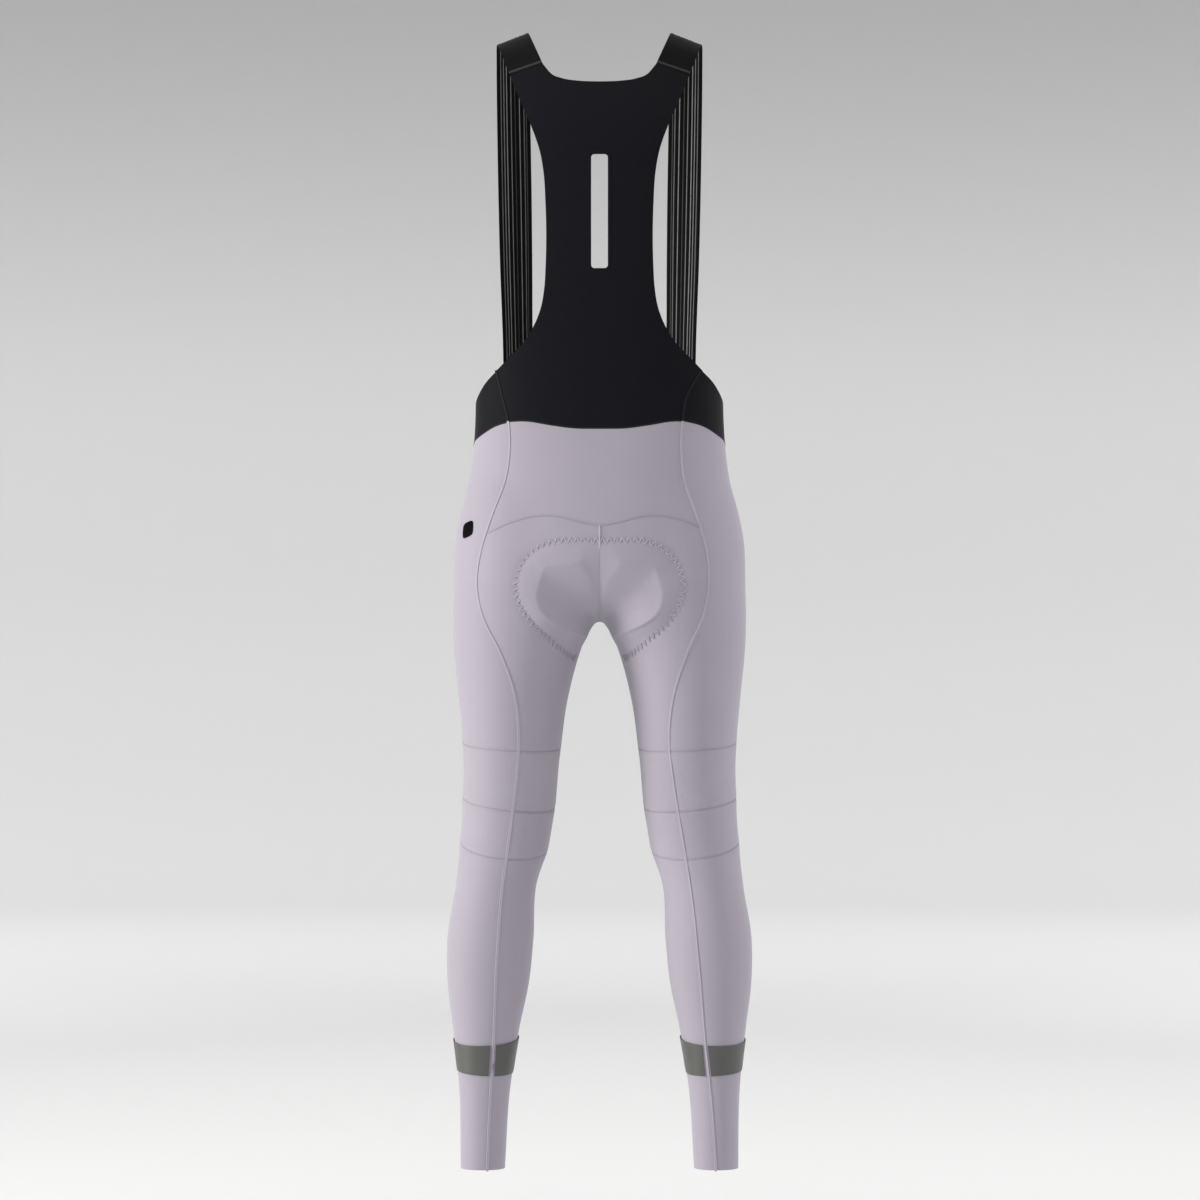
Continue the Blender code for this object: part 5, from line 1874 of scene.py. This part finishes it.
@dataclass
class Seat:
    """Lilac lower back, seat and the pad inside with the zigzag that holds it."""

    patterns: tuple[Pattern, Pattern]
    finishes: Finishes
    showing: PadShowing = PadShowing()
    pad_rows: int = 44
    pad_columns: int = 18
    pad_clearance: float = 3.2
    pad_edge: float = 3.0
    pad_crown: float = 6.0
    crown_powers: tuple[int, int] = (4, 6)
    pad_channel: float = 2.2
    channel_places: tuple[float, float] = (0.34, 0.0)
    channel_width: float = 0.05
    cloth: float = 1.5
    pad_back_drop: float = 610.0
    top_stitch: Stitch = Stitch(half=3.7, pitch=7.8, thread=0.7, lift=0.45, steps=4)
    # The lower zigzag is slightly darker, thicker and shifted down: a painted shadow under the top stitches.
    under_stitch: Stitch = Stitch(half=3.7, pitch=7.8, thread=0.95, lift=0.1, steps=4)
    under_shift: float = 0.55

    def build(self) -> list[Piece]:
        """Builds the panels, the pad and the zigzag."""
        left, right = self.patterns
        grid = across_middle(left.lower_back_half(), right.lower_back_half())
        pieces = [Panel("lower_back_cloth", grid, None, self.finishes.lilac, Slot.LILAC, "lower_back",
                        flatlocked="lrtb").build()]
        for pattern in self.patterns:
            word = pattern.side.word
            creases = creased(pattern.side)
            pieces.append(Panel(
                f"seat_cloth_{word}", pattern.seat(), pattern.side, self.finishes.lilac, Slot.LILAC,
                f"seat_{word}", flatlocked="tlr", lipped="b",
                relief=lambda points, more=creases: self.showing.relief(points) + more(points)).build())
        return pieces + self.build_stitches() + [self.build_pad()]

    def build_stitches(self) -> list[Piece]:
        """The zigzag round the pad: a light top thread, over a slightly darker, thicker copy laid a little
        lower that is a painted shadow under it.
        """
        path, normals = self.showing.stitch_path()
        # The top thread is lighter than the cloth: a painted highlight on the zigzag.
        trim = Trim("pad_zigzag", self.finishes.pad_thread, Slot.LILAC)
        trim.add(self.top_stitch.along(path, normals))
        # Darker copy of the zigzag, moved down: painted shadow under the stitches.
        under = Trim("pad_zigzag_under", self.finishes.shaded_thread, Slot.LILAC)
        lower = path - np.array([0.0, 0.0, self.under_shift])
        under.add(self.under_stitch.along(lower, normals))
        return [trim.build(), under.build()]

    def build_pad(self) -> Piece:
        """The pad inside: crowned foam with three channels along it, laid under the cloth."""
        rise = self.patterns[0].lines["whole rise"]
        fork = int(np.argmin(rise[:, 2]))
        start = int(np.argmin(np.abs(rise[:fork, 2] + self.pad_back_drop)))
        stations, half_widths = columns_of(PAD_OUTLINE)
        at = np.linspace(0, stations[-1], self.pad_rows + 1)
        centre = FIGURE.settle(points_along(rise[start:], at))
        widths = smooth_curve(stations, half_widths, at)
        half = np.empty((len(centre), self.pad_columns + 1, 3))
        half[:, 0] = centre
        heading = np.tile([1.0, 0.0, 0.0], (len(centre), 1))
        point = centre
        for column in range(1, self.pad_columns + 1):
            for _ in range(2):
                normal = FIGURE.normals(point)
                heading = unit(heading - normal * (heading * normal).sum(axis=-1, keepdims=True))
                point = FIGURE.settle(point + heading * (widths / self.pad_columns / 2)[:, None], 3)
            half[:, column] = point
        grid = across_middle(half, half)
        u = np.abs(np.linspace(-1, 1, grid.shape[1]))[None, :]
        v = np.abs(np.linspace(-1, 1, grid.shape[0]))[:, None]
        across, along = self.crown_powers
        crown = (1 - u**across) * (1 - v**along)
        bells = [np.exp(-(((u - place) / self.channel_width) ** 2)) for place in self.channel_places]
        channel = self.pad_channel * sum(bells)
        under = self.cloth + self.pad_clearance - np.clip(self.showing.relief(grid), 0, None)
        normals = FIGURE.normals(grid)
        outer = grid - normals * under[..., None]
        depth = under + self.pad_edge + self.pad_crown * crown - channel * crown
        inner = grid - normals * depth[..., None]
        pad = make_piece("seat_pad_foam", *wall(outer, inner, grid_distances(grid)),
                         self.finishes.foam, Slot.FOAM, ("seat_pad",))
        return pad


@dataclass
class Leg:
    """One leg: thigh, two knee bands, the lower leg and its reflective band."""

    pattern: Pattern
    finishes: Finishes
    band_stretch: Stretch = Stretch(across=1.0, along=1.0)
    band_cloth: float = 0.8
    band_gap: float = 0.3
    band_short: float = 3.6
    band_flare: float = 0.6
    flare_power: int = 3
    band_swell: float = 0.4
    swell_power: int = 6
    tack_place: Triple = (128.1, 1236.8, 1244.8)
    tack_points: int = 9
    tack: Stitch = Stitch(half=1.2, pitch=1.2, thread=0.4, lift=0.8, steps=1)

    def build(self) -> list[Piece]:
        """Builds every panel of the leg, its band and the left band's bar tack."""
        pattern, word = self.pattern, self.pattern.side.word
        upper = pattern.tube("knee top", "knee middle", pattern.rows_knee)
        lower = pattern.tube("knee middle", "knee bottom", pattern.rows_knee)
        calf = pattern.tube("knee bottom", "band top", pattern.rows_calf)
        band = pattern.tube("band top", "band bottom", pattern.rows_band)
        cuff = pattern.tube("band bottom", "hem", pattern.rows_cuff)
        leg = np.concatenate([calf, band[1:], cuff[1:]])
        lilac, waffle = (self.finishes.lilac, Slot.LILAC), (self.finishes.waffle, Slot.TEXTURED)
        creases = {"relief": creased(pattern.side)}
        pieces = []
        for cloth, grid, finish, node, seams in (
            ("thigh_cloth", pattern.thigh(), lilac, "thigh", {"flatlocked": "tlr", "lipped": "b", **creases}),
            ("upper_knee_cloth", upper, waffle, "knee_upper", {"lipped": "tb", **creases}),
            ("lower_knee_cloth", lower, lilac, "knee_lower", {"lipped": "tb", **creases}),
            ("lower_leg_cloth", leg, lilac, "lower_leg", {"lipped": "t", "sides": "tlr"}),
        ):
            settings = {"flatlocked": "lr", **seams}
            panel = Panel(f"{cloth}_{word}", grid, pattern.side, *finish, f"{node}_{word}", **settings)
            pieces.append(panel.build())
        pieces.append(self.build_band(band))
        if pattern.side is Side.LEFT:
            pieces.append(self.build_tack())
        return pieces

    def build_tack(self) -> Piece:
        """The short bar tack at the lower end of the gap in the left band."""
        x, top, bottom = self.tack_place
        drops = np.linspace(top, bottom, self.tack_points)
        path = FIGURE.on_back(np.full(len(drops), x), drops)
        trim = Trim("band_bar_tack", self.finishes.shaded_thread, Slot.REFLECTIVE)
        trim.add(self.tack.along(path, FIGURE.normals(path)))
        return trim.build()

    def build_band(self, rows: Array) -> Piece:
        """The band: laid over the leg, short of the back seam, flared at its upper edge."""
        word = self.pattern.side.word
        base = np.array(rows)
        lengths = grid_distances(base)[..., 0]
        lengths -= lengths[:, :1]
        girth = lengths[:, -1:]
        at = self.band_short + (girth - 2 * self.band_short) * lengths / girth
        for row in range(len(base)):
            base[row] = points_along(rows[row], at[row])
        base = FIGURE.settle(base, 3)
        normals = FIGURE.normals(base)
        v = np.linspace(0, 1, len(base))[:, None]
        flare = self.band_flare * (1 - v) ** self.flare_power
        lift = self.band_gap + flare + self.band_swell * (1 - (2 * v - 1) ** self.swell_power)
        outer = self.pattern.placed(base + normals * (lift + self.band_cloth)[..., None])
        inner = self.pattern.placed(base + normals * lift[..., None])
        piece = make_piece(f"reflective_band_{word}", *wall(outer, inner, grid_distances(base)),
                           self.finishes.film, Slot.REFLECTIVE, (f"ankle_band_{word}",))
        self.band_stretch.declare(piece, base, "laid", (f"lower_leg_cloth_{word}",))
        return piece


@dataclass
class Seams:
    """Every flat seam and ring seam of the tights."""

    patterns: tuple[Pattern, Pattern]
    finishes: Finishes
    wide: Flatlock = Flatlock(half=1.6, ridge=0.85, dip=0.55)
    narrow: Flatlock = Flatlock(half=1.2, ridge=0.5, dip=0.48)
    black: Flatlock = Flatlock(half=1.1, ridge=0.3, dip=0.28)
    centre: Flatlock = Flatlock(half=0.85, ridge=0.95, dip=1.0, loop=0.08)
    ring: Flatlock = Flatlock(half=0.7, ridge=0.3, dip=0.35)
    hem_overrun: float = 1.2
    yoke_gap: float = 0.5
    side_cells: int = 600
    waist_points: int = 40

    def build(self) -> list[Piece]:
        """Builds two pieces for each side, and the seat's, the middle's and the black parts' seams."""
        black = Trim("black_seams", self.finishes.black_thread, Slot.BLACK)
        pieces = []
        for pattern in self.patterns:
            pieces += self.build_side(pattern)
            self.add_black(pattern, black)
        # The seat seam's slightly darker thread is a slight painted shade along it.
        across = Trim("seat_seam", self.finishes.shaded_thread, Slot.LILAC)
        # The middle seams' thread is much lighter than the cloth: a painted highlight along them.
        middle = Trim("back_and_front_seams", self.finishes.pale_thread, Slot.LILAC)
        left, right = self.patterns
        seat_line = np.concatenate([mirrored(right.lines["seat"])[::-1], left.lines["seat"][1:]])
        across.add(self.narrow.along(seat_line))
        middle.add(self.centre.along(left.lines["back rise"]))
        middle.add(self.centre.along(left.lines["front rise"][::-1]))
        return pieces + [across.build(), middle.build(), black.build()]

    def build_side(self, pattern: Pattern) -> list[Piece]:
        """Side-back seam to the cuff and inseam, and the rings round the knee, of one side."""
        side = pattern.side
        # The lighter thread paints light on the ridges of the side-back seam and inseam.
        trim = Trim(f"seams_{side.word}", self.finishes.lilac_thread, Slot.LILAC)
        hem = pattern.seam_point("hem")
        line = pattern.side_back_line(YOKE_END_DROP + self.yoke_gap, -hem[2], self.side_cells)
        trim.add(self.wide.along(line, self.hem_overrun), side)
        trim.add(self.narrow.along(pattern.lines["inseam"]), side)
        # The rings' slightly darker thread is a slight painted shade along them.
        rings = Trim(f"knee_rings_{side.word}", self.finishes.shaded_thread, Slot.LILAC)
        for name in ("knee top", "knee middle", "knee bottom"):
            rings.add(self.ring.along(pattern.ring(name)), side)
        return [trim.build(), rings.build()]

    def add_black(self, pattern: Pattern, black: Trim) -> None:
        """Waist seam of one side and half of the seam between black and lilac."""
        seam = FIGURE.on_back(*pattern.waist_seam(np.linspace(0, 1, self.waist_points)))
        black.add(self.wide.along(seam), pattern.side)
        black.add(self.black.along(pattern.lines["belt"]), pattern.side)
        black.add(self.black.along(pattern.lines["yoke"]), pattern.side)


@dataclass
class HipLabel:
    """Small rounded label on the left hip."""

    finishes: Finishes
    stretch: Stretch = Stretch(across=1.0, along=1.0)
    middle: tuple[float, float] = (158.0, 595.5)
    half_across: float = 11.5
    half_down: float = 9.5
    turn: float = math.radians(14)
    cells: int = 24
    squareness: float = 4.0
    gap: float = 0.3
    thick: float = 0.9
    edge: float = 0.35
    rim_start: float = 0.8

    def build(self) -> Piece:
        """The label: a square grid pressed into a superellipse, its rim rolled down."""
        steps = np.linspace(-1, 1, self.cells + 1)
        down, across = np.meshgrid(steps, steps, indexing="ij")
        power = self.squareness
        reach = np.maximum(np.abs(across), np.abs(down))
        norm = (np.abs(across) ** power + np.abs(down) ** power) ** (1 / power)
        pull = np.where(norm > 0, reach / np.maximum(norm, TINY), 1.0)
        middle = FIGURE.on_back(np.array([self.middle[0]]), np.array([self.middle[1]]))
        normal = FIGURE.normals(middle)[0]
        sideways = unit(np.cross([0.0, 0.0, 1.0], normal))
        upwards = np.cross(normal, sideways)
        turn_x = math.cos(self.turn) * sideways + math.sin(self.turn) * upwards
        turn_y = math.cos(self.turn) * upwards - math.sin(self.turn) * sideways
        offset = self.half_across * across[..., None] * turn_x - self.half_down * down[..., None] * turn_y
        grid = FIGURE.settle(middle + offset * pull[..., None])
        normals = FIGURE.normals(grid)
        roll = self.edge * smooth_step(reach, self.rim_start, 1.0)
        outer = grid + normals * (self.gap + self.thick - roll)[..., None]
        piece = make_piece("label_on_hip", *wall(outer, grid + normals * self.gap, grid_distances(grid)),
                           self.finishes.label, Slot.LABEL, ("hip_label",))
        self.stretch.declare(piece, grid, "laid", ("thigh_cloth_left",))
        return piece


@dataclass(frozen=True)
class SoftLight:
    """A soft area light that faces a target, with its spread in degrees."""

    name: str
    place: Triple
    target: Triple
    size: tuple[float, float]
    power: float
    spread: float
    colour: Triple = (1.0, 1.0, 1.0)

    def add(self) -> None:
        """Adds the light to the scene, unseen by the camera."""
        light = bpy.data.lights.new(self.name, "AREA")
        light.shape = "RECTANGLE"
        light.size, light.size_y = self.size
        light.energy = self.power
        light.color = self.colour
        light.spread = math.radians(self.spread)
        obj = bpy.data.objects.new(self.name, light)
        x, y, z = np.array(self.target) - np.array(self.place)
        obj.location = self.place
        obj.visible_camera = False
        obj.rotation_euler = (math.atan2(math.hypot(x, y), -z), 0.0, math.atan2(-x, y))
        bpy.context.scene.collection.objects.link(obj)


@dataclass
class Studio:
    """Pale floor that runs up into a grey wall all round, soft lights and the camera."""

    lights: tuple[SoftLight, ...] = (
        SoftLight("key_light", (6.8, 1.9, 0.3), (0.0, 0.0, -0.66), (2.2, 3.0), 75.0, 70, (1.0, 0.97, 0.93)),
        SoftLight("fill_light", (0.6, 8.4, 1.2), (0.0, 0.0, -0.68), (2.4, 2.0), 7.0, 90),
        SoftLight("rim_light", (-6.0, -1.2, 0.4), (0.0, 0.0, -0.68), (2.0, 3.0), 15.0, 70),
    )
    wall_light_turns: tuple[int, ...] = (45, 135, 225, 315)
    wall_light_reach: float = 5.0
    wall_light_height: float = 4.0
    floor_z: float = -1.44
    radius: float = 12.5
    bend: float = 3.0
    wall_top: float = 8.0
    spokes: int = 96
    floor_start: float = 0.2
    floor_rings: int = 12
    bend_rings: int = 17
    wall_rings: int = 3
    # The stops darken the paper towards the top of the wall: painted shade of the light's fall-off.
    paper: Paper = Paper("studio_paper", (
        (0.0, 0.86), (1.75, 0.86), (3.4, 0.87), (5.6, 0.83), (8.84, 0.80), (10.55, 0.735), (11.6, 0.67),
        (12.64, 0.60), (13.7, 0.41), (18.2, 0.40)), 18.2)
    eye: Triple = (-0.0006, 9.06, -0.680)
    frame_width: float = 1.44
    frame_distance: float = 9.0
    sensor: float = 36.0
    world: float = 1.03

    def build(self) -> None:
        """Builds the bowl of paper, the lights, the surroundings and the camera."""
        self.build_paper()
        for light in self.lights:
            light.add()
        for number, turn in enumerate(self.wall_light_turns):
            x, y = math.cos(math.radians(turn)), math.sin(math.radians(turn))
            place = (self.wall_light_reach * x, self.wall_light_reach * y, self.wall_light_height)
            target = (self.radius * x, self.radius * y, 0.0)
            SoftLight(f"wall_light_{number}", place, target, (3.0, 2.0), 250.0, 160).add()
        world = bpy.data.worlds.new("studio_air")
        world.use_nodes = True
        background = world.node_tree.nodes["Background"]
        background.inputs["Color"].default_value = (1.0, 1.0, 1.0, 1.0)
        background.inputs["Strength"].default_value = self.world
        bpy.context.scene.world = world
        bpy.context.scene.view_settings.view_transform = "Standard"
        camera = bpy.data.cameras.new("camera")
        camera.sensor_width = self.sensor
        camera.lens = self.sensor * self.frame_distance / self.frame_width
        camera.clip_end = 100.0
        obj = bpy.data.objects.new("camera", camera)
        obj.location = self.eye
        obj.rotation_euler = (math.pi / 2, 0.0, math.pi)
        bpy.context.scene.collection.objects.link(obj)
        bpy.context.scene.camera = obj

    def build_paper(self) -> None:
        """The bowl: a flat floor, a quarter circle and an upright wall, turned about the middle."""
        turn = np.linspace(0, math.pi / 2, self.bend_rings)
        inner = self.radius - self.bend
        floor = np.linspace(self.floor_start, inner, self.floor_rings)[:-1]
        wall_part = np.linspace(1, self.wall_top - self.bend, self.wall_rings)
        upright = np.full(self.wall_rings, self.radius)
        radii = np.concatenate([floor, inner + self.bend * np.sin(turn), upright])
        heights = np.concatenate([0 * floor, self.bend * (1 - np.cos(turn)), self.bend + wall_part])
        along = np.concatenate([floor, inner + self.bend * turn, inner + self.bend * turn[-1] + wall_part])
        angle = np.linspace(0, 2 * math.pi, self.spokes, endpoint=False)
        reach = radii[:, None]
        points = stack(reach * np.cos(angle), reach * np.sin(angle), heights[:, None] + self.floor_z)
        index = np.arange(points.size // 3).reshape(len(radii), self.spokes)
        after = np.roll(index, -1, axis=1)
        quads = np.stack([index[:-1], index[1:], after[1:], after[:-1]], axis=-1).reshape(-1, 4)
        mesh = bpy.data.meshes.new("studio_paper")
        mesh.from_pydata(points.reshape(-1, 3).tolist(), [], quads.tolist() + [index[0].tolist()])
        uv = np.stack(np.broadcast_arrays(0.0 * angle, along[:, None]), axis=-1)
        lay_cloth_layer(mesh, uv.reshape(-1, 2))
        mesh.shade_smooth()
        mesh.materials.append(self.paper.make())
        obj = bpy.data.objects.new("studio_paper", mesh)
        bpy.context.scene.collection.objects.link(obj)


def main() -> None:
    """Builds the tights and the studio."""
    logging.basicConfig(level=logging.INFO, format="%(message)s", stream=sys.stdout)
    finishes = make_finishes()
    patterns = (Pattern(Side.LEFT), Pattern(Side.RIGHT))
    Studio().build()
    pieces = Bib(patterns, finishes).build()
    pieces += Straps(patterns, finishes).build()
    pieces += Seat(patterns, finishes).build()
    for pattern in patterns:
        pieces += Leg(pattern, finishes).build()
    pieces += Seams(patterns, finishes).build()
    pieces.append(HipLabel(finishes).build())
    LOG.info("%d pieces, %d faces", len(pieces), sum(len(piece.data.polygons) for piece in pieces))


if __name__ == "__main__":
    main()
